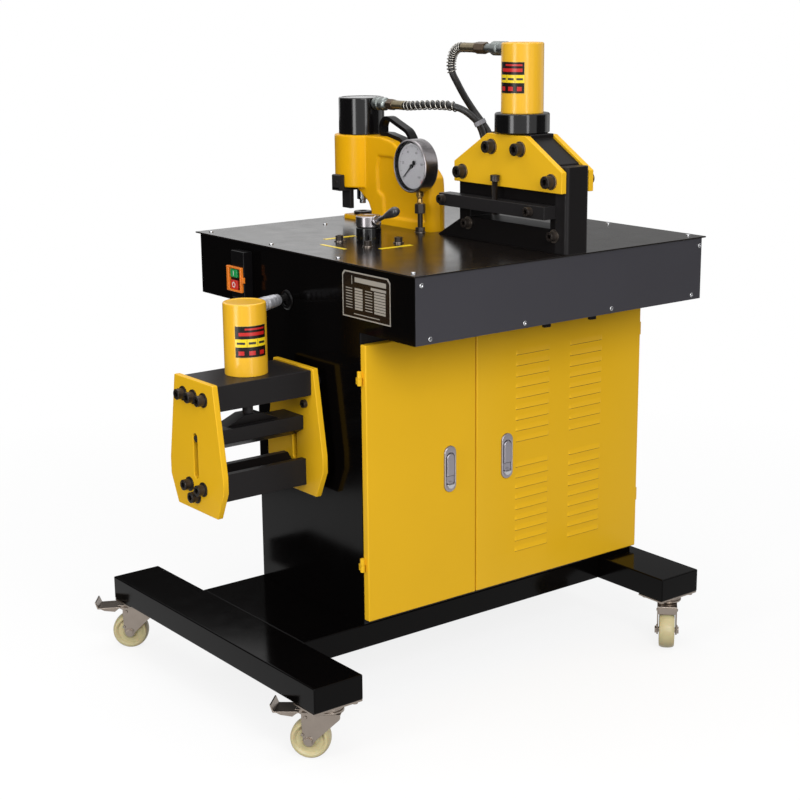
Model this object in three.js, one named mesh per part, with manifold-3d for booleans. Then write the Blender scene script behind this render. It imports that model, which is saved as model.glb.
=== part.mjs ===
// Busbar processing machine: a cabinet on four casters whose table carries a shear and a punch,
// with a bender on its left side, a pressure gauge, a selector valve and two hydraulic hoses.
// Millimetres. X runs along the doors, Y to the back, Z up. Until the last lines the table's upper
// face is at z = 0, and the middle of its plate is at x = y = 0.
import * as THREE from 'three';
import { mergeVertices } from 'three/addons/utils/BufferGeometryUtils.js';
import Module from 'manifold-3d';

const wasm = await Module();
wasm.setup();

// Clearances, cutting overrun and the counts of sides
const GAP = 0.3;
const RUNNING = 0.5;
const OVERRUN = 2;
const WELD = 0.0001;
const SIDES = 24;
const SMALL_SIDES = 12;
const BOLT_SIDES = 8;
const HEX = 6;

// Table plate, its skirt, and the plate's two kinds of cut-out
const TABLE = { side: 750, plate: 3, hoseHole: 9 };
const SKIRT = { left: 373, right: 367, front: 372, back: 358, depth: 127, sheet: 2 };
const TRAY = { wall: 3, clearance: 1 };

// Cabinet under the table, and the frame it stands on
const CABINET = { front: 205, back: 151, right: 354, height: 705.7, sheet: 2, jamb: 16 };
const BASE = { height: 48.7, wall: 3, footWidth: 107, leftFoot: 622, rightFoot: 257, back: 160, vent: 4 };
const FOOT = { front: 395, back: 349, endInset: 35 };

// Casters: heights are over the floor, lengths along the trail
const CASTER = { height: 109.6, plate: 4, plateLength: 66, trail: 33, wheelRadius: 37.5, wheelWidth: 32 };
const FORK = { race: 29, raceBottom: 93, crown: 26, crownSheet: 3, legGap: 18, leg: 2.5, ear: 46 };
const AXLE = { radius: 6, head: 9, headHeight: 5, toe: 11, chin: 8 };
const TREAD = { shoulder: 35.6, shoulderWidth: 12, edge: 33.5 };
const PEDAL = { pivot: 38, pivotHeight: 84, hub: 6, pin: 3, neck: 30, width: 44, reach: 104, sheet: 2.5 };
const PEDAL_TREAD = { neckTop: 97.5, neckEnd: 58, top: 95, tipTop: 92, tab: 105, tabRun: 8 };
const TRAIL_ANGLES = { front_left: 133, rear_left: 142, front_right: -136, rear_right: -118 };

// Doors, hinges, louvres and latches
const DOOR = { top: 150, bottom: 696, depth: 14.7, sheet: 2, leftWidth: 267.5, meet: 2.5, edge: 1 };
const HINGE = { offset: 6, inset: 3.7, radius: 4.6, pin: 2.3, knuckle: 13.4, leaf: 2, leafDepth: 15 };
const HINGE_TOPS = { upper: 200, lower: 568 };
const LOUVRE = { pitch: 22.5, rise: 4, height: 10, slot: 3, width: 90, slotInset: 3 };
const LOUVRE_ROWS = 9;
const LOUVRE_COLUMNS = { first: 103, second: 250 };
const LOUVRE_BANKS = { upper: 219.5, lower: 453 };
const LATCH = { width: 32, height: 100, proud: 4.5, middle: 424, leftX: 170.5, rightX: 22.5 };
const PADDLE = { width: 21, length: 46, fromTop: 18, topClearance: 0.6, backset: 0.6 };
const LOCK = { radius: 9, proud: 1.5, fromBottom: 18, barrel: 7, reach: 13, camWidth: 12, camLength: 30 };

// Screw heads on the table and the front skirt
const SCREW = { radius: 4.5, height: 2.6 };
const SCREW_PLACES = { insetX: 21, insetY: 30, sideY: 115, stopX: 107, stopY: 281 };
const SKIRT_SCREWS = { upperX: 358, upperZ: 18, lowerX: 339, middleX: 113, lowerInset: 10 };

// Shear
const SHEAR = { x: -12, thickness: 58, middle: 215, rear: 60, front: 345, footTip: 11, footTop: 39 };
const SHEAR_THROAT = { front: 329, rear: 94, bottom: 46, top: 80 };
const SHEAR_TOP = { shoulder: 152, frontShoulder: 168, neckHalf: 59, neckBottom: 210, top: 219 };
const POST = { front: 375, top: 165, rounding: 8 };
const SHEAR_PLATE = { thickness: 12, half: 158, bottom: 116, side: 156, topHalf: 56.5, top: 217 };
const PLATE_BOLTS = { innerY: 42, innerZ: 192, outerY: 130, outerZ: 137 };
const BODY_BOLTS = { y: 127, z: 33 };
const COLLAR = { radius: 53.5, height: 38 };
const SHEAR_CYLINDER = { radius: 41.2, top: 390, bevel: 3 };
const BLADE = { front: 312, rear: 108, thickness: 6, height: 70, rod: 15, travel: 30 };
const BAR = { thickness: 30, front: 345, rear: 30, bottom: 66, top: 91 };
const BAR_BOLTS = { rearY: 44, rearZ: 80, frontY: 305, frontZ: 79 };
const BAR_SCREW = { x: 34, y: 194, radius: 6, headTop: 139, headHeight: 12, head: 9, tip: 62 };

// Punch
const PUNCH = { x: -12, thickness: 58, axis: 311.5, headRadius: 60, headBottom: 73, headTop: 186 };
const PUNCH_CYLINDER = { radius: 50, top: 265, bevel: 3 };
const ARM = { bottom: 60, nose: 35, noseDepth: 56, jawEnd: 345, jawTop: 9 };
const SPINE = { lowZ: 61, kneeY: 51, kneeZ: 108, slopeY: 165, slopeZ: 178, shoulderY: 206 };
const ARCH = { outerY: 301, outerZ: 75, middleY: 253, middleZ: 43, innerY: 242, innerZ: 22 };
const POCKET = { depth: 6, frontY: 165, backY: 216, topZ: 145, lowY: 199, lowZ: 62, footZ: 18 };
const PUNCH_RAM = { radius: 20, bore: 20.5, stem: 12.5, stemBottom: 42, tip: 7, tipBottom: 33, travel: 20 };
const DIE_RING = { radius: 20, bore: 8.5, height: 7 };
const STRIPPER = { bridge: 7, half: 15.5, bevel: 5, leg: 10, legInset: 35, bottom: 26 };
const CLAMP = { half: 15.5, thickness: 11.7, top: 100.5 };
const HANDLE = { width: 20, strap: 8, rounding: 9, steps: 24, rear: 235, front: 122 };
const HANDLE_BENDS = {
  rearZ: 212, topY: 222, topZ: 227, kneeY: 206, kneeZ: 229.5, slopeY: 138, slopeZ: 203.5, frontZ: 184,
};

// Hose couplings: lengths run away from the cylinder they screw into
const PORT = { radius: 12, length: 3, sides: 16 };
const COUPLING = { nut: 14, nutLength: 26, sleeve: 11.5, body: 12.5, bodyLength: 40, sides: 16 };
const SHEAR_PORT = { z: 377, ferruleFrom: 88, ferruleTo: 36, ferrule: 10 };
const PUNCH_PORT = { z: 253, ferruleFrom: 190, ferruleTo: 156, ferrule: 9.5 };
const BENDER_PORT = { z: 93, angle: 23.6, sleeve: 14, sleeveEnd: 84, nut: 12, nutEnd: 122, tail: 6, tailEnd: 153 };
const GROMMET = { radius: 20, bore: 12, thickness: 4, y: 34, z: 98.6 };

// Gauge on its stem
const GAUGE = { y: 53, z: 138, radius: 55, front: 53, depth: 35, rim: 4.5, well: 9 };
const NEEDLE = { hub: 4, tip: 38, tail: 13, width: 5, tipWidth: 1.2, thickness: 1.2, angle: 222, lift: 2.4 };
const STEM = { x: 25, washer: 12, washerHeight: 1, lowNut: 9, lowNutTop: 10, pipe: 5.5, nut: 11 };
const STEM_HEIGHTS = { nutBottom: 39, nutTop: 59, neck: 7, neckTop: 75 };

// Selector valve and its lever
const VALVE = { x: 190, y: 10, radius: 25.5, bodyTop: 31, hubTop: 54, boltX: 38, boltY: 48 };
const VALVE_BLOCK = { width: 100, depth: 115, height: 70 };
const LEVER = { radius: 4, rise: 21.6, start: 5, startZ: 37, gripFrom: 56, seat: 20, chamfer: 2 };
const GRIP = { length: 42, small: 5.5, belly: 10, bellyAt: 29, shoulderAt: 38, shoulder: 7 };

// Bender on the left side
const BENDER = { outer: 628, inner: 392.5, plate: 12, middle: 26, top: 211, bottom: 466 };
const BENDER_OUTLINE = { topHalf: 68.5, half: 96, shoulderTop: 380, shoulderBottom: 412, bottomHalf: 71.5 };
const SLOT = { width: 15, top: 314, bottom: 403 };
const BENDER_BOLTS = { pitch: 36.5, upper: 243, lower: 418, lowerPitch: 25, bottom: 437 };
const BEAM = { half: 63, top: 214.5, bottom: 264 };
const BENDER_CYLINDER = { radius: 41.2, top: 76.5, x: 510, bevel: 3 };
const DIE_BLOCK = { half: 39, top: 395, bottom: 448, grooveHalf: 24, grooveDepth: 20 };
const MOVING_BAR = { half: 34, top: 309, side: 336, edge: 354, roof: 292, roofHalf: 18, roofRun: 60 };
const BENDER_RAM = { radius: 10.5, bore: 11, stroke: 52, room: 4 };
const GUIDE_PIN = { radius: 6.8, z: 325 };
const SPACER = { radius: 12 };

// Bolts by their thread
const M16 = { head: 12, headHeight: 16, washer: 15, washerHeight: 3 };
const M14 = { head: 10.5, headHeight: 14, washer: 14, washerHeight: 2.5 };
const M12 = { head: 9, headHeight: 12, washer: 13, washerHeight: 2.5 };
const M10 = { head: 8, headHeight: 10, washer: 10.5, washerHeight: 2 };

// Switch box
const SWITCH = { front: 157, back: 204, top: 17.4, bottom: 114, depth: 22, recess: 4 };
const COVER = { front: 158, back: 212, top: 48.6, bottom: 99.7, depth: 7, rim: 3.2 };
const BUTTONS = { front: 175.5, back: 206, proud: 5, stroke: 2.5 };
const START = { top: 54.4, bottom: 71 };
const STOP = { top: 76.8, bottom: 95.6 };

// Hydraulic supply inside the cabinet
const TANK = { left: 340, right: 60, front: 150, back: 100, height: 140 };
const MOTOR = { radius: 70, height: 190, x: 200, y: 20, foot: 84, footHeight: 12, bevel: 8 };

// Hoses and their spring guards
const HOSE = { radius: 7, sides: 8, steps: 38 };
const GUARD = { wire: 2.2, curlSteps: 8, wireSides: 5 };
const SHEAR_GUARD = { radius: 10, curls: 12, length: 74 };
const PUNCH_GUARD = { radius: 9.6, curls: 12, length: 168 };
const HOSE_HOLES = { shear: [86, -60], punch: [68, -52] };
const HOSE_END = 24;

// Heights and places that follow from the sizes above
const floor = -(CASTER.height + BASE.height + CABINET.height);
const cabinetBottom = -CABINET.height;
const baseBottom = cabinetBottom - BASE.height;
const underPlate = -TABLE.plate;
const panelInside = -SKIRT.left + SKIRT.sheet;
const doorFace = -CABINET.front - GAP - DOOR.depth;
const shearBack = SHEAR.x + SHEAR.thickness;
const shearMiddle = SHEAR.x + SHEAR.thickness / 2;
const punchBack = PUNCH.x + PUNCH.thickness;
const punchMiddle = PUNCH.x + PUNCH.thickness / 2;
const collarTop = SHEAR_TOP.top + COLLAR.height;
const benderMiddle = -BENDER.middle;

const COLOURS = {
  yellow: 0xe0b02c, black: 0x17171a, satin: 0x35363a, steel: 0xb9bcc0, zinc: 0xd8d4c4, oxide: 0x2c2b2c,
  rubber: 0x161616, nylon: 0xe8e0c4, castGrey: 0x8f9296, orange: 0xe8722a, green: 0x1f9a55, red: 0xd23a2e,
  brass: 0xb9a47a,
};

const machine = new THREE.Group();

function material(colour, roughness, metalness) {
  return new THREE.MeshStandardMaterial({ color: colour, roughness, metalness });
}

const enamel = () => material(COLOURS.yellow, 0.35, 0);
const gloss = () => material(COLOURS.black, 0.15, 0);
const satin = () => material(COLOURS.satin, 0.45, 0);
const oxide = () => material(COLOURS.oxide, 0.4, 0.8);
const bright = () => material(COLOURS.steel, 0.25, 1);
const zinc = () => material(COLOURS.zinc, 0.3, 1);

// A closed geometry as a solid. One that faces inwards is turned round.
function solid(geometry) {
  geometry.deleteAttribute('normal');
  geometry.deleteAttribute('uv');
  const merged = mergeVertices(geometry, WELD);
  const vertProperties = merged.attributes.position.array;
  const triVerts = new Uint32Array(merged.index.array);
  const made = new wasm.Manifold(new wasm.Mesh({ numProp: 3, vertProperties, triVerts }));
  if (made.volume() > 0) return made;
  for (let i = 0; i < triVerts.length; i += 3) {
    [triVerts[i + 1], triVerts[i + 2]] = [triVerts[i + 2], triVerts[i + 1]];
  }
  return new wasm.Manifold(new wasm.Mesh({ numProp: 3, vertProperties, triVerts }));
}

// Places a geometry made along Z so that it runs along the named axis, with the two other
// coordinates in their order: X takes (y, z), Y takes (x, z) and Z takes (x, y).
function along(axis, geometry) {
  const x = new THREE.Vector3(1, 0, 0);
  const y = new THREE.Vector3(0, 1, 0);
  const z = new THREE.Vector3(0, 0, 1);
  if (axis === 'x') geometry.applyMatrix4(new THREE.Matrix4().makeBasis(y, z, x));
  if (axis === 'y') geometry.applyMatrix4(new THREE.Matrix4().makeBasis(x, z, y.clone().negate()));
  return geometry;
}

function block(x0, x1, y0, y1, z0, z1) {
  const geometry = new THREE.BoxGeometry(x1 - x0, y1 - y0, z1 - z0);
  return solid(geometry.translate((x0 + x1) / 2, (y0 + y1) / 2, (z0 + z1) / 2));
}

// An outline of points, or a shape, pushed along an axis from one place to another.
function prism(axis, outline, from, to, curveSegments = 6) {
  const shape = Array.isArray(outline) ? new THREE.Shape(outline.map((p) => new THREE.Vector2(...p))) : outline;
  const geometry = new THREE.ExtrudeGeometry(shape, { depth: to - from, bevelEnabled: false, curveSegments });
  return solid(along(axis, geometry.translate(0, 0, axis === 'y' ? -to : from)));
}

// A profile of (radius, place along the axis) points turned round an axis through a centre.
function turnedGeometry(axis, centre, profile, sides = SIDES) {
  const points = profile.map(([r, h]) => new THREE.Vector2(r, axis === 'y' ? -h : h));
  const geometry = new THREE.LatheGeometry(points, sides);
  return along(axis, geometry.rotateX(Math.PI / 2).translate(centre[0], centre[1], 0));
}

function turned(axis, centre, profile, sides = SIDES) {
  return solid(turnedGeometry(axis, centre, profile, sides));
}

function rod(axis, centre, radius, from, to, sides = SIDES) {
  return turned(axis, centre, [[0, from], [radius, from], [radius, to], [0, to]], sides);
}

function hexagon(axis, centre, radius, from, to) {
  return rod(axis, centre, radius, from, to, HEX);
}

function ring(axis, centre, inner, outer, from, to, sides = SIDES) {
  return turned(axis, centre, [[inner, from], [outer, from], [outer, to], [inner, to], [inner, from]], sides);
}

function together(...solids) {
  return solids.reduce((sum, next) => sum.add(next));
}

// A solid as a named mesh of its own, in a group.
function piece(name, made, surface, parent = machine) {
  const cut = made.getMesh();
  const geometry = new THREE.BufferGeometry();
  geometry.setAttribute('position', new THREE.BufferAttribute(cut.vertProperties, 3));
  geometry.setIndex(new THREE.BufferAttribute(cut.triVerts, 1));
  geometry.computeVertexNormals();
  const mesh = new THREE.Mesh(geometry, surface);
  mesh.name = name;
  parent.add(mesh);
  return mesh;
}

// A bolt head on its washer, standing on a face and pointing along the axis in one direction.
function boltHead(axis, centre, bolt, face, direction) {
  const washerEnd = face + direction * bolt.washerHeight;
  const headEnd = washerEnd + direction * bolt.headHeight;
  const washer = rod(axis, centre, bolt.washer, Math.min(face, washerEnd), Math.max(face, washerEnd), BOLT_SIDES);
  const head = rod(axis, centre, bolt.head, Math.min(washerEnd, headEnd), Math.max(washerEnd, headEnd), BOLT_SIDES);
  return together(washer, head);
}

// Table plate with the punch's slot and tray, the valve's hole and the hoses' holes
const slot = {
  x0: PUNCH.x - TRAY.clearance, x1: punchBack + TRAY.clearance,
  y0: ARM.nose - TRAY.clearance, y1: ARM.jawEnd + TRAY.clearance,
};

function trayBlock(grow, bottom) {
  return block(slot.x0 - grow, slot.x1 + grow, slot.y0 - grow, slot.y1 + grow, bottom, underPlate);
}

function makeTable() {
  const half = TABLE.side / 2;
  const trayBottom = -ARM.bottom - TRAY.wall;
  const slotCut = block(slot.x0, slot.x1, slot.y0, slot.y1, -ARM.bottom, OVERRUN);
  let top = together(block(-half, half, -half, half, underPlate, 0), trayBlock(TRAY.wall, trayBottom));
  top = top.subtract(slotCut);
  top = top.subtract(rod('z', [-VALVE.x, VALVE.y], VALVE.radius + GAP, underPlate - OVERRUN, OVERRUN));
  for (const hole of Object.values(HOSE_HOLES)) {
    top = top.subtract(rod('z', hole, TABLE.hoseHole, underPlate - OVERRUN, OVERRUN, SMALL_SIDES));
  }
  piece('table_top', together(top, ...tableScrews(), ...valveBolts()), gloss());

  const skirtBottom = -SKIRT.depth;
  const right = SKIRT.right - SKIRT.sheet;
  const inFront = -SKIRT.front + SKIRT.sheet;
  const inBack = SKIRT.back - SKIRT.sheet;
  piece('table_skirt', together(
    block(panelInside, SKIRT.right, -SKIRT.front, inFront, skirtBottom, underPlate),
    block(right, SKIRT.right, inFront, SKIRT.back, skirtBottom, underPlate),
    block(panelInside, right, inBack, SKIRT.back, skirtBottom, underPlate),
    ...skirtScrews(),
  ), satin());

  const panel = prism('x', [
    [-SKIRT.front, underPlate], [-SKIRT.front, skirtBottom], [-CABINET.front, skirtBottom],
    [-CABINET.front, cabinetBottom], [CABINET.back, cabinetBottom], [CABINET.back, skirtBottom],
    [SKIRT.back, skirtBottom], [SKIRT.back, underPlate],
  ], -SKIRT.left, panelInside);
  const hoseHole = rod('x', [GROMMET.y, -GROMMET.z], GROMMET.bore, -SKIRT.left - OVERRUN, panelInside + OVERRUN,
    SMALL_SIDES);
  const grommet = ring('x', [GROMMET.y, -GROMMET.z], GROMMET.bore, GROMMET.radius, -SKIRT.left - GROMMET.thickness,
    -SKIRT.left, COUPLING.sides);
  piece('left_side_panel', together(panel.subtract(hoseHole), grommet, ...fixedKnuckles(leftHingeX, -SKIRT.left)),
    gloss());
}

function makeCabinet() {
  const { sheet, jamb, right, front, back } = CABINET;
  const shell = block(panelInside, right, -front, back, cabinetBottom, underPlate);
  const room = block(panelInside + sheet, right - sheet, -front + sheet, back - sheet, cabinetBottom + sheet,
    underPlate + OVERRUN);
  const doorway = block(panelInside + jamb, right - jamb, -front - OVERRUN, -front + sheet + OVERRUN,
    -DOOR.bottom, -DOOR.top);
  const trayNotch = trayBlock(TRAY.wall + TRAY.clearance, -ARM.bottom - TRAY.wall - TRAY.clearance);
  const hoseHole = rod('x', [GROMMET.y, -GROMMET.z], GROMMET.bore, panelInside - OVERRUN,
    panelInside + sheet + OVERRUN, SMALL_SIDES);
  const body = shell.subtract(room).subtract(doorway).subtract(trayNotch).subtract(hoseHole);
  piece('cabinet_body', together(body, ...fixedKnuckles(rightHingeX, right)), satin());
}

function makeBase() {
  const top = cabinetBottom;
  const footOutline = [
    [-BASE.leftFoot, -FOOT.front, BASE.footWidth, FOOT.front + FOOT.back],
    [BASE.rightFoot, -FOOT.front, BASE.footWidth, FOOT.front + FOOT.back],
    [-BASE.leftFoot + BASE.footWidth - BASE.wall, -CABINET.front,
      BASE.leftFoot + BASE.rightFoot - BASE.footWidth + BASE.wall + BASE.wall, CABINET.front + BASE.back],
  ];
  const { wall } = BASE;
  const outer = together(...footOutline.map(([x, y, w, d]) => block(x, x + w, y, y + d, baseBottom, top)));
  const inner = footOutline.map(([x, y, w, d]) => together(
    block(x + wall, x + w - wall, y + wall, y + d - wall, baseBottom + wall, top - wall),
    rod('z', [x + w / 2, y + d / 2], BASE.vent, baseBottom - OVERRUN, top - BASE.height / 2, SMALL_SIDES),
  ));
  const plates = casterPlaces().map(({ x, y }) => block(
    x - BASE.footWidth / 2, x + BASE.footWidth / 2, y - CASTER.plateLength / 2, y + CASTER.plateLength / 2,
    baseBottom - CASTER.plate, baseBottom));
  const frame = inner.reduce((left, hollow) => left.subtract(hollow), outer);
  piece('base_frame', together(frame, ...plates), gloss());
}

function casterPlaces() {
  const left = -BASE.leftFoot + BASE.footWidth / 2;
  const right = BASE.rightFoot + BASE.footWidth / 2;
  const front = -FOOT.front + FOOT.endInset;
  const rear = FOOT.back - FOOT.endInset;
  return [
    { name: 'front_left', x: left, y: front, braked: true },
    { name: 'rear_left', x: left, y: rear, braked: true },
    { name: 'front_right', x: right, y: front, braked: false },
    { name: 'rear_right', x: right, y: rear, braked: false },
  ];
}

// One caster in its own group: its swivel axis is local Z, its wheel trails along local +X,
// and local z = 0 is the floor.
function makeCaster({ name, x, y, braked }) {
  const group = new THREE.Group();
  group.position.set(x, y, floor);
  group.rotation.z = THREE.MathUtils.degToRad(TRAIL_ANGLES[name]);
  machine.add(group);

  const { race, raceBottom, crown, crownSheet, legGap, leg, ear } = FORK;
  const axleHeight = CASTER.wheelRadius;
  const { trail } = CASTER;
  const raceTop = CASTER.height - CASTER.plate - GAP;
  const outline = [
    [-crown, raceBottom], [-crown, raceBottom - crownSheet - AXLE.chin], [trail - AXLE.toe, axleHeight],
    [trail, axleHeight - AXLE.toe], [trail + AXLE.toe, axleHeight], [ear, PEDAL.pivotHeight - PEDAL.hub],
    [ear, raceBottom],
  ];
  let fork = together(
    rod('z', [0, 0], race, raceBottom, raceTop),
    block(-crown, crown, -legGap - leg, legGap + leg, raceBottom - crownSheet, raceBottom),
    prism('y', outline, legGap, legGap + leg),
    prism('y', outline, -legGap - leg, -legGap),
    rod('y', [trail, axleHeight], AXLE.radius, -legGap - leg, legGap + leg, SMALL_SIDES),
    hexagon('y', [trail, axleHeight], AXLE.head, legGap + leg, legGap + leg + AXLE.headHeight),
    hexagon('y', [trail, axleHeight], AXLE.head, -legGap - leg - AXLE.headHeight, -legGap - leg),
  );
  if (braked) {
    fork = together(fork, rod('y', [PEDAL.pivot, PEDAL.pivotHeight], PEDAL.pin, -legGap - leg, legGap + leg,
      SMALL_SIDES));
  }
  piece('caster_fork_' + name, fork, zinc(), group);

  const half = CASTER.wheelWidth / 2;
  const bore = AXLE.radius + RUNNING;
  const { edge, shoulder, shoulderWidth } = TREAD;
  const wheel = turned('y', [trail, axleHeight], [
    [bore, -half], [edge, -half], [shoulder, -shoulderWidth], [CASTER.wheelRadius, -shoulderWidth / 2],
    [CASTER.wheelRadius, shoulderWidth / 2], [shoulder, shoulderWidth], [edge, half], [bore, half], [bore, -half],
  ]);
  piece('caster_wheel_' + name, wheel, material(COLOURS.nylon, 0.5, 0), group);
  if (braked) makePedal(name, group);
}

function makePedal(name, group) {
  const { pivot, pivotHeight, hub, pin, neck, width, reach, sheet } = PEDAL;
  const { neckTop, neckEnd, top, tipTop, tab, tabRun } = PEDAL_TREAD;
  const treadStart = FORK.ear + 2 * sheet;
  const neckSide = [
    [pivot - hub, pivotHeight], [pivot - hub, neckTop], [neckEnd, top], [neckEnd, top - sheet],
    [pivot + hub, pivotHeight],
  ];
  const treadSide = [
    [treadStart, top], [reach - tabRun, tipTop], [reach - sheet, tab], [reach, tab],
    [reach - tabRun + sheet, tipTop - sheet], [treadStart, top - 2 * sheet],
  ];
  const pedal = together(
    rod('y', [pivot, pivotHeight], hub, -neck / 2, neck / 2, SMALL_SIDES),
    prism('y', neckSide, -neck / 2, neck / 2),
    prism('y', treadSide, -width / 2, width / 2),
  ).subtract(rod('y', [pivot, pivotHeight], pin + RUNNING, -width, width, SMALL_SIDES));
  piece('brake_pedal_' + name, pedal, zinc(), group);
}

// Doors. Each turns on two hinges outside its outer edge.
const leftDoor = { from: panelInside, to: panelInside + DOOR.leftWidth };
const rightDoor = { from: leftDoor.to + DOOR.meet, to: CABINET.right - DOOR.edge };
const hingeY = -CABINET.front - HINGE.inset;
const leftHingeX = leftDoor.from - HINGE.offset;
const rightHingeX = rightDoor.to + HINGE.offset;

function doorPan({ from, to }) {
  const back = -CABINET.front - GAP;
  const pan = block(from, to, doorFace, back, -DOOR.bottom, -DOOR.top);
  const hollow = block(from + DOOR.sheet, to - DOOR.sheet, doorFace + DOOR.sheet, back + OVERRUN,
    -DOOR.bottom + DOOR.sheet, -DOOR.top - DOOR.sheet);
  return pan.subtract(hollow);
}

function doorKnuckles(hingeX, edgeX) {
  const inward = Math.sign(edgeX - hingeX);
  const knuckles = Object.values(HINGE_TOPS).map((top) => {
    const x0 = Math.min(hingeX, edgeX + inward * DOOR.sheet / 2);
    const x1 = Math.max(hingeX, edgeX + inward * DOOR.sheet / 2);
    return together(
      rod('z', [hingeX, hingeY], HINGE.radius, -top - HINGE.knuckle, -top, SMALL_SIDES),
      block(x0, x1, hingeY - HINGE.leaf, hingeY, -top - HINGE.knuckle, -top),
    ).subtract(rod('z', [hingeX, hingeY], HINGE.pin + GAP, -top - HINGE.knuckle - OVERRUN, -top + OVERRUN,
      SMALL_SIDES));
  });
  return together(...knuckles);
}

function lockHole(x) {
  return rod('y', [x, lockZ], LOCK.barrel + GAP, doorFace - OVERRUN, doorFace + DOOR.sheet + OVERRUN, SMALL_SIDES);
}

const lockZ = -LATCH.middle - LATCH.height / 2 + LOCK.fromBottom;

function louvres() {
  const wedges = [];
  const slots = [];
  for (const column of Object.values(LOUVRE_COLUMNS)) {
    const x0 = rightDoor.from + column;
    const x1 = x0 + LOUVRE.width;
    for (const bank of Object.values(LOUVRE_BANKS)) {
      for (let row = 0; row < LOUVRE_ROWS; row += 1) {
        const lip = -bank - row * LOUVRE.pitch;
        wedges.push(prism('x', [
          [doorFace + DOOR.sheet / 2, lip + LOUVRE.height], [doorFace, lip + LOUVRE.height],
          [doorFace - LOUVRE.rise, lip], [doorFace + DOOR.sheet / 2, lip],
        ], x0, x1));
        slots.push(block(x0 + LOUVRE.slotInset, x1 - LOUVRE.slotInset, doorFace - OVERRUN,
          doorFace + DOOR.sheet + OVERRUN, lip - LOUVRE.slot, lip));
      }
    }
  }
  return { wedges, slots };
}

function makeDoors() {
  const left = together(doorPan(leftDoor), doorKnuckles(leftHingeX, leftDoor.from));
  piece('left_door', left.subtract(lockHole(-LATCH.leftX)), enamel());
  const { wedges, slots } = louvres();
  let right = together(doorPan(rightDoor), doorKnuckles(rightHingeX, rightDoor.to), ...wedges);
  for (const opening of slots) right = right.subtract(opening);
  piece('right_door', right.subtract(lockHole(-LATCH.rightX)), enamel());
}

// The lower knuckles of one side, each with its pin and the leaf that holds it to that side's face.
function fixedKnuckles(hingeX, side) {
  const outerFace = side + Math.sign(hingeX - side) * HINGE.leaf;
  return Object.values(HINGE_TOPS).map((top) => {
    const high = -top - HINGE.knuckle - GAP;
    const low = high - HINGE.knuckle;
    return together(
      rod('z', [hingeX, hingeY], HINGE.radius, low, high, SMALL_SIDES),
      rod('z', [hingeX, hingeY], HINGE.pin, high - HINGE.leaf, -top - HINGE.leaf, SMALL_SIDES),
      block(Math.min(side, outerFace), Math.max(side, outerFace), hingeY, hingeY + HINGE.leafDepth, low, high),
    );
  });
}

function stadium(x, z, width, height) {
  const radius = width / 2;
  const run = height / 2 - radius;
  const shape = new THREE.Shape();
  shape.absarc(x, z + run, radius, 0, Math.PI);
  shape.absarc(x, z - run, radius, Math.PI, 2 * Math.PI);
  shape.closePath();
  return shape;
}

function makeLatch(side, x) {
  const face = doorFace - LATCH.proud;
  const top = -LATCH.middle + LATCH.height / 2 - PADDLE.fromTop;
  const half = PADDLE.width / 2;
  const barrelEnd = doorFace + LOCK.reach;
  const pocket = block(x - half - RUNNING, x + half + RUNNING, face - OVERRUN, doorFace + OVERRUN,
    top - PADDLE.length - RUNNING, top + PADDLE.topClearance);
  const plate = prism('y', stadium(x, -LATCH.middle, LATCH.width, LATCH.height), face, doorFace).subtract(pocket);
  const lock = together(
    rod('y', [x, lockZ], LOCK.radius, face - LOCK.proud, face, SIDES),
    rod('y', [x, lockZ], LOCK.barrel, face, barrelEnd, SMALL_SIDES),
    block(x - LOCK.camWidth / 2, x + LOCK.camWidth / 2, barrelEnd - DOOR.sheet, barrelEnd,
      lockZ - LOCK.barrel, lockZ - LOCK.barrel + LOCK.camLength),
  );
  piece(side + '_latch_plate', together(plate, lock), material(COLOURS.castGrey, 0.4, 0.8));
  piece(side + '_latch_paddle', block(x - half, x + half, face + PADDLE.backset, doorFace - GAP,
    top - PADDLE.length, top), material(COLOURS.castGrey, 0.35, 0.8));
}

function tableScrews() {
  const { insetX, insetY, sideY, stopX, stopY } = SCREW_PLACES;
  const cornerX = TABLE.side / 2 - insetX;
  const cornerY = TABLE.side / 2 - insetY;
  const places = [[-stopX, stopY]];
  for (const x of [-cornerX, cornerX]) {
    for (const y of [-cornerY, -sideY, sideY, cornerY]) places.push([x, y]);
  }
  return places.map((place) => rod('z', place, SCREW.radius, 0, SCREW.height, BOLT_SIDES));
}

function skirtScrews() {
  const { upperX, upperZ, lowerX, middleX, lowerInset } = SKIRT_SCREWS;
  const lowerZ = SKIRT.depth - lowerInset;
  const places = [[upperX, upperZ], [lowerX, lowerZ], [middleX, lowerZ]];
  return places.flatMap(([x, z]) => [-x, x].map((side) => rod(
    'y', [side, -z], SCREW.radius, -SKIRT.front - SCREW.height, -SKIRT.front, BOLT_SIDES)));
}

function valveBolts() {
  const places = [[-1, -1], [-1, 1], [1, -1], [1, 1]];
  return places.map(([across, back]) => boltHead(
    'z', [-VALVE.x + across * VALVE.boltX, VALVE.y + back * VALVE.boltY], M10, 0, 1));
}

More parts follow.
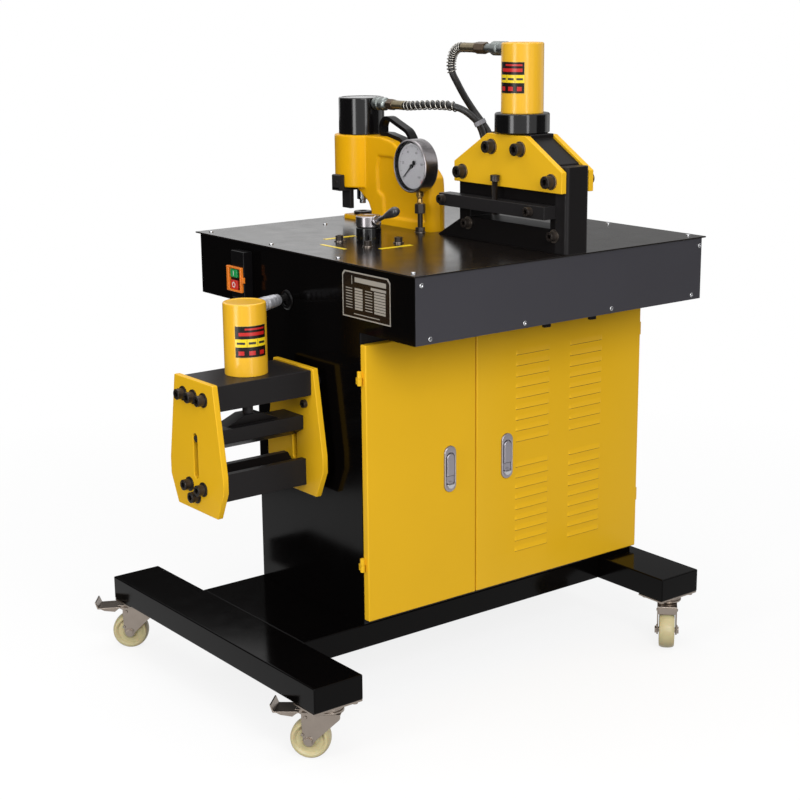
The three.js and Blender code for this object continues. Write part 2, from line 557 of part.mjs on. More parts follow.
// Shear
function makeShear() {
  const { x, middle, rear, front, footTip, footTop } = SHEAR;
  const { shoulder, frontShoulder, neckHalf, neckBottom, top } = SHEAR_TOP;
  const side = prism('x', [
    [-front, 0], [footTip, 0], [-rear, footTop], [-rear, shoulder], [-middle + neckHalf, neckBottom],
    [-middle + neckHalf, top], [-middle - neckHalf, top], [-middle - neckHalf, neckBottom], [-front, frontShoulder],
  ], x, shearBack);
  const throat = block(x - OVERRUN, shearBack + OVERRUN, -SHEAR_THROAT.front, -SHEAR_THROAT.rear,
    SHEAR_THROAT.bottom, SHEAR_THROAT.top);
  const bladeTop = SHEAR_THROAT.top + BLADE.height;
  const bladeLeft = shearMiddle - BLADE.thickness / 2;
  const bladeRight = shearMiddle + BLADE.thickness / 2;
  const bladeRoom = block(bladeLeft - RUNNING, bladeRight + RUNNING, -BLADE.front - RUNNING, -BLADE.rear + RUNNING,
    SHEAR_THROAT.bottom - OVERRUN, bladeTop + RUNNING);
  const rodRoom = rod('z', [shearMiddle, -middle], BLADE.rod + RUNNING, bladeTop - BLADE.travel - RUNNING,
    top + OVERRUN);
  const bodyBolts = [-1, 1].map((way) => boltHead('x', [-middle + way * BODY_BOLTS.y, BODY_BOLTS.z], M12, x, -1));
  const body = together(side, roundedPost()).subtract(throat).subtract(bladeRoom).subtract(rodRoom);
  piece('cutter_body', together(body, ...bodyBolts), satin());

  const blade = block(bladeLeft, bladeRight, -BLADE.front, -BLADE.rear, SHEAR_THROAT.top, bladeTop);
  piece('cutter_blade', together(blade, rod('z', [shearMiddle, -middle], BLADE.rod, bladeTop,
    collarTop - RUNNING)), bright());

  const outline = [
    [-middle - SHEAR_PLATE.half, SHEAR_PLATE.bottom], [-middle + SHEAR_PLATE.half, SHEAR_PLATE.bottom],
    [-middle + SHEAR_PLATE.half, SHEAR_PLATE.side], [-middle + SHEAR_PLATE.topHalf, SHEAR_PLATE.top],
    [-middle - SHEAR_PLATE.topHalf, SHEAR_PLATE.top], [-middle - SHEAR_PLATE.half, SHEAR_PLATE.side],
  ];
  const plateBolts = (face, direction) => [-1, 1].flatMap((way) => [
    boltHead('x', [-middle + way * PLATE_BOLTS.innerY, PLATE_BOLTS.innerZ], M16, face, direction),
    boltHead('x', [-middle + way * PLATE_BOLTS.outerY, PLATE_BOLTS.outerZ], M16, face, direction),
  ]);
  const leftFace = x - SHEAR_PLATE.thickness;
  const rightFace = shearBack + SHEAR_PLATE.thickness;
  const leftPlate = prism('x', outline, leftFace, x);
  const rightPlate = prism('x', outline, shearBack, rightFace);
  piece('cutter_plate_left', together(leftPlate, ...plateBolts(leftFace, -1)), enamel());
  piece('cutter_plate_right', together(rightPlate, ...plateBolts(rightFace, 1)), enamel());

  const axis = [shearMiddle, -middle];
  piece('cutter_collar', ring('z', axis, BLADE.rod + RUNNING, COLLAR.radius, top, collarTop), gloss());
  const { radius, bevel } = SHEAR_CYLINDER;
  const portEnd = -middle + radius + PORT.length;
  const port = rod('y', [shearMiddle, SHEAR_PORT.z], PORT.radius, -middle, portEnd, PORT.sides);
  const cylinder = turned('z', axis, [
    [0, collarTop], [radius, collarTop], [radius, SHEAR_CYLINDER.top - bevel], [radius - bevel, SHEAR_CYLINDER.top],
    [0, SHEAR_CYLINDER.top],
  ]);
  piece('cutter_cylinder', together(cylinder, port), enamel());
}

// The end post of the shear, with both of its outer upright edges rounded.
function roundedPost() {
  const { front, top, rounding } = POST;
  const shape = new THREE.Shape();
  shape.moveTo(SHEAR.x, -SHEAR.front + OVERRUN);
  shape.lineTo(SHEAR.x, -front + rounding);
  shape.absarc(SHEAR.x + rounding, -front + rounding, rounding, Math.PI, 1.5 * Math.PI);
  shape.absarc(shearBack - rounding, -front + rounding, rounding, 1.5 * Math.PI, 2 * Math.PI);
  shape.lineTo(shearBack, -SHEAR.front + OVERRUN);
  return prism('z', shape, 0, top);
}

function makeHoldDown() {
  const back = SHEAR.x;
  const face = back - BAR.thickness;
  const screwAxis = [-BAR_SCREW.x, -BAR_SCREW.y];
  const bore = rod('z', screwAxis, BAR_SCREW.radius + GAP, BAR.bottom - OVERRUN, BAR.top + OVERRUN, SMALL_SIDES);
  const head = (y, z) => rod('x', [-y, z], M12.head, face - M12.headHeight, face, BOLT_SIDES);
  const bar = block(face, back, -BAR.front, -BAR.rear, BAR.bottom, BAR.top).subtract(bore);
  const nut = hexagon('x', [-BAR_BOLTS.rearY, BAR_BOLTS.rearZ], M12.head, back, back + M12.headHeight);
  piece('hold_down_bar', together(
    bar, head(BAR_BOLTS.rearY, BAR_BOLTS.rearZ), head(BAR_BOLTS.frontY, BAR_BOLTS.frontZ), nut), satin());
  const headBottom = BAR_SCREW.headTop - BAR_SCREW.headHeight;
  piece('hold_down_screw', together(
    rod('z', screwAxis, BAR_SCREW.radius, BAR_SCREW.tip, headBottom, SMALL_SIDES),
    rod('z', screwAxis, BAR_SCREW.head, headBottom, BAR_SCREW.headTop, SMALL_SIDES),
  ), oxide());
}

// Punch
function makePunch() {
  const { x, axis, headRadius, headBottom, headTop } = PUNCH;
  const head = [punchMiddle, axis];
  const outline = [
    [ARM.nose, -ARM.bottom], [ARM.jawEnd, -ARM.bottom], [ARM.jawEnd, ARM.jawTop], [ARCH.innerY, ARM.jawTop],
    [ARCH.innerY, ARCH.innerZ], [ARCH.middleY, ARCH.middleZ], [ARCH.outerY, ARCH.outerZ], [axis, ARCH.outerZ],
    [axis, headTop], [SPINE.shoulderY, headTop], [SPINE.slopeY, SPINE.slopeZ], [SPINE.kneeY, SPINE.kneeZ],
    [ARM.nose, SPINE.lowZ],
  ];
  const plan = new THREE.Shape();
  const noseY = ARM.nose + ARM.noseDepth;
  plan.moveTo(x, ARM.jawEnd);
  plan.lineTo(x, noseY);
  plan.absellipse(punchMiddle, noseY, PUNCH.thickness / 2, ARM.noseDepth, Math.PI, 2 * Math.PI);
  plan.lineTo(punchBack, ARM.jawEnd);
  const arm = prism('x', outline, x, punchBack).intersect(
    prism('z', plan, -ARM.bottom - OVERRUN, headTop + OVERRUN, SMALL_SIDES));
  const pocketOutline = [
    [POCKET.frontY, POCKET.topZ], [POCKET.backY, POCKET.topZ], [POCKET.backY, POCKET.lowZ + POCKET.depth],
    [POCKET.lowY, POCKET.lowZ], [POCKET.lowY, POCKET.footZ], [POCKET.frontY, POCKET.footZ],
  ];
  const pockets = together(
    prism('x', pocketOutline, x - OVERRUN, x + POCKET.depth),
    prism('x', pocketOutline, punchBack - POCKET.depth, punchBack + OVERRUN),
  );
  const bore = rod('z', head, PUNCH_RAM.bore, headBottom - OVERRUN, headTop + OVERRUN);
  const frame = together(arm, rod('z', head, headRadius, headBottom, headTop, SIDES));
  piece('punch_frame', frame.subtract(pockets).subtract(bore), enamel());

  const { radius, top, bevel } = PUNCH_CYLINDER;
  const port = rod('y', [punchMiddle, PUNCH_PORT.z], PORT.radius, axis - radius - PORT.length, axis, PORT.sides);
  const cylinder = turned('z', head, [
    [0, headTop], [radius, headTop], [radius, top - bevel], [radius - bevel, top],
    [0, top],
  ]);
  piece('punch_cylinder', together(cylinder, port), gloss());

  const ram = together(
    rod('z', head, PUNCH_RAM.radius, headBottom + PUNCH_RAM.travel + RUNNING, headTop - RUNNING),
    rod('z', head, PUNCH_RAM.stem, PUNCH_RAM.stemBottom, headTop - RUNNING, SMALL_SIDES),
    rod('z', head, PUNCH_RAM.tip, PUNCH_RAM.tipBottom, PUNCH_RAM.stemBottom, SMALL_SIDES),
  );
  piece('punch_ram', ram, bright());
  piece('punch_die', ring('z', head, DIE_RING.bore, DIE_RING.radius, ARM.jawTop, ARM.jawTop + DIE_RING.height),
    oxide());
  makeStripper(head);
}

// The stripper: a bevelled bridge under the head with a leg at each end, and a clamp block that
// stands on the bridge beside the head.
function makeStripper([hx, hy]) {
  const { bridge, half, bevel, leg, legInset, bottom } = STRIPPER;
  const top = PUNCH.headBottom;
  const low = top - bridge;
  const reach = legInset + leg;
  const clampInner = hx - PUNCH.headRadius - GAP;
  const clampOuter = clampInner - CLAMP.thickness;
  const bridgeSide = [
    [hy - half, low], [hy + half, low], [hy + half, top], [hy - half + bevel, top], [hy - half, top - bevel],
  ];
  const stripper = together(
    prism('x', bridgeSide, clampOuter, hx + reach),
    block(hx - reach, hx - legInset, hy - half, hy + half, bottom, low),
    block(hx + legInset, hx + reach, hy - half, hy + half, bottom, low),
    block(clampOuter, clampInner, hy - CLAMP.half, hy + CLAMP.half, low, CLAMP.top),
  ).subtract(rod('z', [hx, hy], PUNCH_RAM.stem + RUNNING, low - OVERRUN, top + OVERRUN));
  piece('punch_stripper', stripper, oxide());
}

// Height of the punch frame's back under the handle
function spineHeight(y) {
  const { kneeY, kneeZ, slopeY, slopeZ, shoulderY } = SPINE;
  if (y >= shoulderY) return PUNCH.headTop;
  if (y >= slopeY) return slopeZ + (y - slopeY) * (PUNCH.headTop - slopeZ) / (shoulderY - slopeY);
  return kneeZ + (y - kneeY) * (slopeZ - kneeZ) / (slopeY - kneeY);
}

// The handle: a closed loop of a flat strap that lies on the frame's back
function makeHandle() {
  const { width, strap, rounding, steps, rear, front } = HANDLE;
  const bend = HANDLE_BENDS;
  const seat = (y) => [y, spineHeight(y) + GAP];
  const outline = new wasm.CrossSection([[
    seat(front), seat(SPINE.slopeY), seat(SPINE.shoulderY), seat(rear), [rear, bend.rearZ], [bend.topY, bend.topZ],
    [bend.kneeY, bend.kneeZ], [bend.slopeY, bend.slopeZ], [front, bend.frontZ],
  ]]);
  const outer = outline.offset(-rounding, 'Miter').offset(rounding, 'Round', 2, steps);
  const loop = outer.subtract(outer.offset(-strap, 'Round', 2, steps));
  const upright = loop.extrude(width).rotate([90, 0, 90]);
  piece('carry_handle', upright.translate([punchMiddle - width / 2, 0, 0]), satin());
}

// A round bar along a path.
function tube(path, radius, sides, steps) {
  const section = new THREE.Shape();
  for (let i = 0; i < sides; i += 1) {
    const turn = 2 * Math.PI * i / sides;
    const corner = [radius * Math.cos(turn), radius * Math.sin(turn)];
    if (i === 0) section.moveTo(...corner);
    else section.lineTo(...corner);
  }
  section.closePath();
  return new THREE.ExtrudeGeometry(section, { steps, extrudePath: path });
}

// Gauge: the case is a cup that opens towards -X, with the needle in it
function makeGauge() {
  const { y, z, radius, front, depth, rim, well } = GAUGE;
  const centre = [y, z];
  const dial = -front + well;
  const cup = rod('x', centre, radius, -front, -front + depth).subtract(
    rod('x', centre, radius - rim, -front - OVERRUN, dial));
  piece('gauge_case', cup, bright());

  const turn = THREE.MathUtils.degToRad(NEEDLE.angle);
  const towards = (length, aside) => [
    y - length * Math.cos(turn) - aside * Math.sin(turn), z + length * Math.sin(turn) - aside * Math.cos(turn),
  ];
  const pointer = [
    towards(NEEDLE.tip, NEEDLE.tipWidth / 2), towards(NEEDLE.tip, -NEEDLE.tipWidth / 2),
    towards(-NEEDLE.tail, -NEEDLE.width / 2), towards(-NEEDLE.tail, NEEDLE.width / 2),
  ];
  const low = dial - NEEDLE.lift - NEEDLE.thickness;
  piece('gauge_needle', together(
    prism('x', pointer, low, low + NEEDLE.thickness),
    rod('x', centre, NEEDLE.hub, low, dial - GAP, SMALL_SIDES),
  ), oxide());

  const foot = [-STEM.x, y];
  const { nutBottom, nutTop, neck, neckTop } = STEM_HEIGHTS;
  piece('gauge_stem', together(
    rod('z', foot, STEM.washer, 0, STEM.washerHeight, SMALL_SIDES),
    hexagon('z', foot, STEM.lowNut, STEM.washerHeight, STEM.lowNutTop),
    rod('z', foot, STEM.pipe, STEM.lowNutTop, nutBottom, SMALL_SIDES),
    hexagon('z', foot, STEM.nut, nutBottom, nutTop),
    rod('z', foot, neck, nutTop, neckTop, SMALL_SIDES),
    hexagon('z', foot, STEM.lowNut, neckTop, z - radius),
  ), material(COLOURS.brass, 0.35, 0.9));
}

// Valve under and over the table, with its lever in a group that turns with it
function makeValve() {
  const place = [-VALVE.x, VALVE.y];
  const { width, depth, height } = VALVE_BLOCK;
  piece('valve_body', together(
    rod('z', place, VALVE.radius, underPlate, VALVE.bodyTop),
    block(-VALVE.x - width / 2, -VALVE.x + width / 2, VALVE.y - depth / 2, VALVE.y + depth / 2,
      underPlate - height, underPlate),
  ), oxide());

  const group = new THREE.Group();
  group.position.set(...place, 0);
  group.rotation.z = -Math.PI / 2;
  machine.add(group);
  const tilt = THREE.MathUtils.degToRad(LEVER.rise);
  const onLever = (made) => made.rotateY(-tilt).translate(LEVER.start, 0, LEVER.startZ);
  const lying = (profile) => new THREE.LatheGeometry(profile.map((p) => new THREE.Vector2(...p)), SMALL_SIDES)
    .rotateZ(-Math.PI / 2);
  const hub = turned('z', [0, 0], [
    [0, VALVE.bodyTop + GAP], [VALVE.radius, VALVE.bodyTop + GAP], [VALVE.radius, VALVE.hubTop - LEVER.chamfer],
    [VALVE.radius - LEVER.chamfer, VALVE.hubTop], [0, VALVE.hubTop],
  ]);
  const stick = solid(onLever(lying([
    [0, 0], [LEVER.radius, 0], [LEVER.radius, LEVER.gripFrom + LEVER.seat], [0, LEVER.gripFrom + LEVER.seat],
  ])));
  piece('valve_lever', together(hub, stick), bright(), group);
  const bore = LEVER.radius + GAP;
  const seatEnd = LEVER.gripFrom + LEVER.seat + GAP;
  const grip = onLever(lying([
    [0, seatEnd], [bore, seatEnd], [bore, LEVER.gripFrom], [GRIP.small, LEVER.gripFrom],
    [GRIP.belly, LEVER.gripFrom + GRIP.bellyAt], [GRIP.shoulder, LEVER.gripFrom + GRIP.shoulderAt],
    [0, LEVER.gripFrom + GRIP.length],
  ]));
  piece('lever_grip', solid(grip), material(COLOURS.rubber, 0.25, 0), group);
}

// Bender
function makeBender() {
  const { outer, inner, plate, top, bottom } = BENDER;
  const { topHalf, half, shoulderTop, shoulderBottom, bottomHalf } = BENDER_OUTLINE;
  const mid = benderMiddle;
  const x0 = -outer + plate;
  const x1 = -inner - plate;
  const outline = [
    [mid - topHalf, -top], [mid - half, -shoulderTop], [mid - half, -shoulderBottom], [mid - bottomHalf, -bottom],
    [mid + bottomHalf, -bottom], [mid + half, -shoulderBottom], [mid + half, -shoulderTop], [mid + topHalf, -top],
  ];
  const slotShape = new THREE.Shape();
  const slotRadius = SLOT.width / 2;
  slotShape.absarc(mid, -SLOT.top - slotRadius, slotRadius, 0, Math.PI);
  slotShape.absarc(mid, -SLOT.bottom + slotRadius, slotRadius, Math.PI, 2 * Math.PI);
  const slotCut = prism('x', slotShape, -outer - OVERRUN, -inner + OVERRUN);
  const bolts = benderBoltPlaces().map((place) => boltHead('x', place, M14, -outer, -1));
  const spacers = benderBoltPlaces().map((place) => rod(
    'x', place, SPACER.radius, -inner, -SKIRT.left, SMALL_SIDES));
  const outerPlate = prism('x', outline, -outer, x0).subtract(slotCut);
  const innerPlate = prism('x', outline, x1, -inner).subtract(slotCut);
  piece('bender_plate_outer', together(outerPlate, ...bolts), enamel());
  piece('bender_plate_inner', together(innerPlate, ...spacers), enamel());

  const ramPlace = [-BENDER_CYLINDER.x, mid];
  const ramBore = rod('z', ramPlace, BENDER_RAM.bore, -BEAM.bottom - OVERRUN, -BEAM.top + OVERRUN);
  const beam = block(x0, x1, mid - BEAM.half, mid + BEAM.half, -BEAM.bottom, -BEAM.top);
  piece('bender_beam', beam.subtract(ramBore), satin());

  const groove = [
    [mid - DIE_BLOCK.grooveHalf, -DIE_BLOCK.top], [mid, -DIE_BLOCK.top - DIE_BLOCK.grooveDepth],
    [mid + DIE_BLOCK.grooveHalf, -DIE_BLOCK.top],
  ];
  piece('bender_die', prism('x', [
    [mid - DIE_BLOCK.half, -DIE_BLOCK.top], ...groove, [mid + DIE_BLOCK.half, -DIE_BLOCK.top],
    [mid + DIE_BLOCK.half, -DIE_BLOCK.bottom], [mid - DIE_BLOCK.half, -DIE_BLOCK.bottom],
  ], x0, x1), satin());

  const { radius, bevel } = BENDER_CYLINDER;
  const roomTop = -BEAM.top + BENDER_RAM.stroke + BENDER_RAM.room;
  piece('bender_cylinder', turned('z', ramPlace, [
    [BENDER_RAM.bore, -BEAM.top], [radius, -BEAM.top], [radius, -BENDER_CYLINDER.top - bevel],
    [radius - bevel, -BENDER_CYLINDER.top], [0, -BENDER_CYLINDER.top], [0, roomTop], [BENDER_RAM.bore, roomTop],
    [BENDER_RAM.bore, -BEAM.top],
  ]), enamel());

  const bar = MOVING_BAR;
  const pinEnds = plate - RUNNING;
  const roof = prism('y', [
    [-BENDER_CYLINDER.x - bar.roofRun, -bar.top], [-BENDER_CYLINDER.x - bar.roofHalf, -bar.roof],
    [-BENDER_CYLINDER.x + bar.roofHalf, -bar.roof], [-BENDER_CYLINDER.x + bar.roofRun, -bar.top],
  ], mid - bar.roofHalf, mid + bar.roofHalf);
  piece('bender_punch', together(
    prism('x', [
      [mid - bar.half, -bar.top], [mid - bar.half, -bar.side], [mid, -bar.edge], [mid + bar.half, -bar.side],
      [mid + bar.half, -bar.top],
    ], x0 + RUNNING, x1 - RUNNING),
    roof,
    rod('z', ramPlace, BENDER_RAM.radius, -bar.top, -BEAM.top + BENDER_RAM.stroke),
    rod('x', [mid, -GUIDE_PIN.z], GUIDE_PIN.radius, x0 - pinEnds, x1 + pinEnds, SMALL_SIDES),
  ), satin());
}

function benderBoltPlaces() {
  const { pitch, upper, lower, lowerPitch, bottom } = BENDER_BOLTS;
  return [
    [benderMiddle - pitch, -upper], [benderMiddle, -upper], [benderMiddle + pitch, -upper],
    [benderMiddle - lowerPitch, -lower], [benderMiddle + lowerPitch, -lower], [benderMiddle, -bottom],
  ];
}

// Switch on the left panel: a box with a recess, a cover with a window, and two push buttons
function makeSwitch() {
  const face = -SKIRT.left - SWITCH.depth;
  const coverFace = face - COVER.depth;
  const { rim } = COVER;
  const low = -COVER.bottom + rim;
  const high = -COVER.top - rim;
  const opening = block(coverFace - OVERRUN, face + OVERRUN, COVER.front + rim, COVER.back - rim, low, high);
  const recess = block(face - OVERRUN, face + SWITCH.recess, SWITCH.front + rim, SWITCH.back - rim, low, high);
  const box = block(face, -SKIRT.left, SWITCH.front, SWITCH.back, -SWITCH.bottom, -SWITCH.top);
  const cover = block(coverFace, face, COVER.front, COVER.back, -COVER.bottom, -COVER.top);
  piece('switch_box', box.subtract(recess), satin());
  piece('switch_cover', cover.subtract(opening), material(COLOURS.orange, 0.4, 0));
  const button = ({ top, bottom }) => block(face - BUTTONS.proud, face + SWITCH.recess - BUTTONS.stroke - GAP,
    BUTTONS.front, SWITCH.back - COVER.rim - RUNNING, -bottom, -top);
  piece('start_button', button(START), material(COLOURS.green, 0.35, 0));
  piece('stop_button', button(STOP), material(COLOURS.red, 0.35, 0));
}

function makeSupply() {
  const tankBottom = cabinetBottom + CABINET.sheet;
  const tankTop = tankBottom + TANK.height;
  piece('oil_tank', block(-TANK.left, -TANK.right, -TANK.front, TANK.back, tankBottom, tankTop), satin());
  const { radius, height, x, y, foot, footHeight, bevel } = MOTOR;
  piece('pump_motor', turned('z', [-x, y], [
    [0, tankTop], [foot, tankTop], [foot, tankTop + footHeight], [radius, tankTop + footHeight],
    [radius, tankTop + height - bevel], [radius - bevel, tankTop + height], [0, tankTop + height],
  ]), gloss());
}

// Hoses. Each starts at its ferrule and ends under its hole in the table.
const shearFerrule = -SHEAR_PORT.ferruleTo;
const punchFerrule = PUNCH_PORT.ferruleTo;

const shearRoute = new THREE.CatmullRomCurve3([
  new THREE.Vector3(17, shearFerrule + GAP, SHEAR_PORT.z),
  new THREE.Vector3(17, -29, SHEAR_PORT.z),
  new THREE.Vector3(17, -17, 374),
  new THREE.Vector3(17, -5, 364),
  new THREE.Vector3(17, 1, 347),
  new THREE.Vector3(18, 0, 328),
  new THREE.Vector3(30, -2, 305),
  new THREE.Vector3(50, -4, 274),
  new THREE.Vector3(67, -11, 247),
  new THREE.Vector3(78, -24, 224),
  new THREE.Vector3(84, -40, 200),
  new THREE.Vector3(86, -52, 165),
  new THREE.Vector3(86, -59, 110),
  new THREE.Vector3(...HOSE_HOLES.shear, 40),
  new THREE.Vector3(...HOSE_HOLES.shear, -HOSE_END),
], false, 'centripetal');

const punchRoute = new THREE.CatmullRomCurve3([
  new THREE.Vector3(17, punchFerrule - GAP, PUNCH_PORT.z),
  new THREE.Vector3(17, 146, PUNCH_PORT.z),
  new THREE.Vector3(17, 124, 254.5),
  new THREE.Vector3(17, 90, 257),
  new THREE.Vector3(17, 38, 259.5),
  new THREE.Vector3(17, -8, 258.5),
  new THREE.Vector3(27, -24, 252),
  new THREE.Vector3(39, -34, 241),
  new THREE.Vector3(51, -42, 226),
  new THREE.Vector3(60, -46, 205),
  new THREE.Vector3(66, -50, 170),
  new THREE.Vector3(68, -52, 110),
  new THREE.Vector3(...HOSE_HOLES.punch, 40),
  new THREE.Vector3(...HOSE_HOLES.punch, -HOSE_END),
], false, 'centripetal');

// A wire of a few sides through a list of points, with a ring of corners at every point.
function wire(points, radius, sides) {
  const corners = [];
  const faces = [];
  let normal = new THREE.Vector3();
  points.forEach((point, i) => {
    const before = points[Math.max(i - 1, 0)];
    const after = points[Math.min(i + 1, points.length - 1)];
    const tangent = new THREE.Vector3().subVectors(after, before).normalize();
    if (i === 0) normal.set(1, 0, 0).cross(tangent);
    normal = normal.clone().addScaledVector(tangent, -normal.dot(tangent)).normalize();
    const across = new THREE.Vector3().crossVectors(tangent, normal);
    for (let k = 0; k < sides; k += 1) {
      const turn = 2 * Math.PI * k / sides;
      corners.push(point.clone().addScaledVector(normal, radius * Math.cos(turn))
        .addScaledVector(across, radius * Math.sin(turn)));
    }
  });
  for (let i = 0; i + 1 < points.length; i += 1) {
    for (let k = 0; k < sides; k += 1) {
      const a = i * sides + k;
      const b = i * sides + (k + 1) % sides;
      faces.push(a, b, b + sides, a, b + sides, a + sides);
    }
  }
  const last = (points.length - 1) * sides;
  for (let k = 1; k + 1 < sides; k += 1) faces.push(0, k + 1, k, last, last + k, last + k + 1);
  const geometry = new THREE.BufferGeometry();
  geometry.setAttribute('position', new THREE.Float32BufferAttribute(corners.flatMap((c) => c.toArray()), 3));
  geometry.setIndex(faces);
  return geometry;
}

// The middle line of a spring guard: a helix round the first stretch of a hose, with both ends
// straight along the hose for one wire diameter.
function guardLine(route, { radius, curls, length }) {
  const side = new THREE.Vector3(1, 0, 0);
  const whole = route.getLength();
  const steps = curls * GUARD.curlSteps;
  const points = [];
  const onRing = (distance, turn) => {
    const at = distance / whole;
    const tangent = route.getTangentAt(at);
    const over = new THREE.Vector3().crossVectors(tangent, side).normalize();
    const outward = new THREE.Vector3().crossVectors(over, tangent).normalize();
    return route.getPointAt(at).addScaledVector(outward, radius * Math.cos(turn))
      .addScaledVector(over, radius * Math.sin(turn));
  };
  points.push(onRing(0, 0));
  for (let i = 0; i <= steps; i += 1) {
    const distance = GUARD.wire + (length - 2 * GUARD.wire) * i / steps;
    points.push(onRing(distance, 2 * Math.PI * i / GUARD.curlSteps));
  }
  points.push(onRing(length, 2 * Math.PI * curls));
  return points;
}

// The least clear space between two curls, measured between points of the wire's middle line.
function leastSelfGap(points) {
  let least = Infinity;
  for (let i = 0; i < points.length; i += 1) {
    for (let j = i + GUARD.curlSteps / 2 + 1; j < points.length; j += 1) {
      least = Math.min(least, points[i].distanceTo(points[j]));
    }
  }
  return least - GUARD.wire;
}

function makeHoses() {
  const rubber = () => material(COLOURS.rubber, 0.4, 0);
  piece('cutter_hose', solid(tube(shearRoute, HOSE.radius, HOSE.sides, HOSE.steps)), rubber());
  piece('punch_hose', solid(tube(punchRoute, HOSE.radius, HOSE.sides, HOSE.steps)), rubber());
  for (const [name, route, guard] of [
    ['cutter_spring', shearRoute, SHEAR_GUARD], ['punch_spring', punchRoute, PUNCH_GUARD],
  ]) {
    const line = guardLine(route, guard);
    console.log(name + ' least gap between curls: ' + leastSelfGap(line).toFixed(2) + ' mm');
    piece(name, solid(wire(line, GUARD.wire / 2, GUARD.wireSides)), zinc());
  }
}

// Couplings between the cylinders and the hoses' ferrules
function makeCouplings() {
  const { nut, nutLength, sleeve, body, bodyLength, sides } = COUPLING;
  const coupling = (centre, from, direction, ferruleFrom, ferruleTo, ferrule) => {
    const stretch = (radius, a, b, corners) => rod('y', centre, radius, Math.min(a, b), Math.max(a, b), corners);
    const nutEnd = from + direction * nutLength;
    const bodyEnd = nutEnd + direction * bodyLength;
    return together(
      stretch(nut, from, nutEnd, HEX), stretch(body, nutEnd, bodyEnd, sides),
      stretch(sleeve, nutEnd, ferruleFrom, sides), stretch(ferrule, ferruleFrom, ferruleTo, sides),
    );
  };
  const shearFrom = -SHEAR.middle + SHEAR_CYLINDER.radius + PORT.length;
  const punchFrom = PUNCH.axis - PUNCH_CYLINDER.radius - PORT.length;
  const shear = coupling([shearMiddle, SHEAR_PORT.z], shearFrom, 1, -SHEAR_PORT.ferruleFrom, shearFerrule,
    SHEAR_PORT.ferrule);
  const punch = coupling([punchMiddle, PUNCH_PORT.z], punchFrom, -1, PUNCH_PORT.ferruleFrom, punchFerrule,
    PUNCH_PORT.ferrule);
  piece('cutter_coupling', shear, zinc());
  piece('punch_coupling', punch, zinc());
}

// The bender's coupling runs at an angle from its cylinder through the grommet on the left panel.
function makeBenderCoupling() {
  const { angle, z, sleeve, sleeveEnd, nut, nutEnd, tail, tailEnd } = BENDER_PORT;
  const start = BENDER_CYLINDER.radius + GAP;
  const swung = (radius, from, to, sides) => solid(turnedGeometry('x', [0, 0], [
    [0, from], [radius, from], [radius, to], [0, to],
  ], sides).rotateZ(THREE.MathUtils.degToRad(angle)).translate(-BENDER_CYLINDER.x, benderMiddle, -z));
  piece('bender_coupling', together(
    swung(sleeve, start, sleeveEnd, COUPLING.sides), swung(nut, sleeveEnd, nutEnd, HEX),
    swung(tail, nutEnd, tailEnd, COUPLING.sides),
  ), zinc());
}

makeTable();
makeCabinet();
makeBase();
casterPlaces().forEach(makeCaster);
makeDoors();
makeLatch('left', -LATCH.leftX);
makeLatch('right', -LATCH.rightX);
makeShear();
makeHoldDown();
makePunch();
makeHandle();
makeGauge();
makeValve();
makeBender();
makeSwitch();
makeSupply();
makeHoses();
makeCouplings();
makeBenderCoupling();

// The origin goes to the middle of the footprint, on the floor.
machine.updateMatrixWorld(true);
const bounds = new THREE.Box3().setFromObject(machine, true);
const centre = bounds.getCenter(new THREE.Vector3());
machine.position.set(-centre.x, -centre.y, -floor);

export default machine;
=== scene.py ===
import math

import bmesh
import bpy
from mathutils import Matrix, Vector


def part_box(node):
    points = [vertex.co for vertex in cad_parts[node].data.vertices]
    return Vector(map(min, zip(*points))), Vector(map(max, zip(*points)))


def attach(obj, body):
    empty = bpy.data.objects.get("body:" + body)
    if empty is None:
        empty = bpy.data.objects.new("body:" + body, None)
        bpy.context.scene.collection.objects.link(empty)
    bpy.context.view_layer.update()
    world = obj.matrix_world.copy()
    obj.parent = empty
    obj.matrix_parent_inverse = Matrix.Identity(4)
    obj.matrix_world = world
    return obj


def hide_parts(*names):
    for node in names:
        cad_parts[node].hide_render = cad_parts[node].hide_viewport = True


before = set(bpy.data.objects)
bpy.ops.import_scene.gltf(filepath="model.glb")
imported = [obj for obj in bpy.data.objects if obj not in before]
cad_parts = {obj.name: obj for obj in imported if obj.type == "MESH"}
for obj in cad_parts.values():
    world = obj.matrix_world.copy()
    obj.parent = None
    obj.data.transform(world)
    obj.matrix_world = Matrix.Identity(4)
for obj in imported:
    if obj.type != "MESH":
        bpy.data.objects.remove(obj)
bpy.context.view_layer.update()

MM = 0.001
UP = Vector((0, 0, 1))
LEFT, RIGHT, FRONT, BACK, DOWN = (-1, 0, 0), (1, 0, 0), (0, -1, 0), (0, 1, 0), (0, 0, -1)
PLATE = 3
TOOL_X = 17  # the middle plane of the cutter and the punch
CUTTER_Y, PUNCH_Y = -215, 311.5
BENDER_X, BENDER_Y = -510, -26
table_low, table_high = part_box("table_top")
ORIGIN = Vector(((table_low.x + table_high.x) / 2, (table_low.y + table_high.y) / 2,
                 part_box("table_skirt")[1].z + PLATE * MM))
TO_ROW = Matrix.Translation(ORIGIN) @ Matrix.Scale(MM, 4)
FLOOR = -ORIGIN.z / MM


def row(point):
    return TO_ROW @ Vector(point)


def linked(name, data):
    """An object of the scene that carries some data."""
    made = bpy.data.objects.new(name, data)
    bpy.context.collection.objects.link(made)
    return made


def meshed(name, bm):
    """A mesh made from a shape, which is used up."""
    data = bpy.data.meshes.new(name)
    bm.to_mesh(data)
    bm.free()
    return data


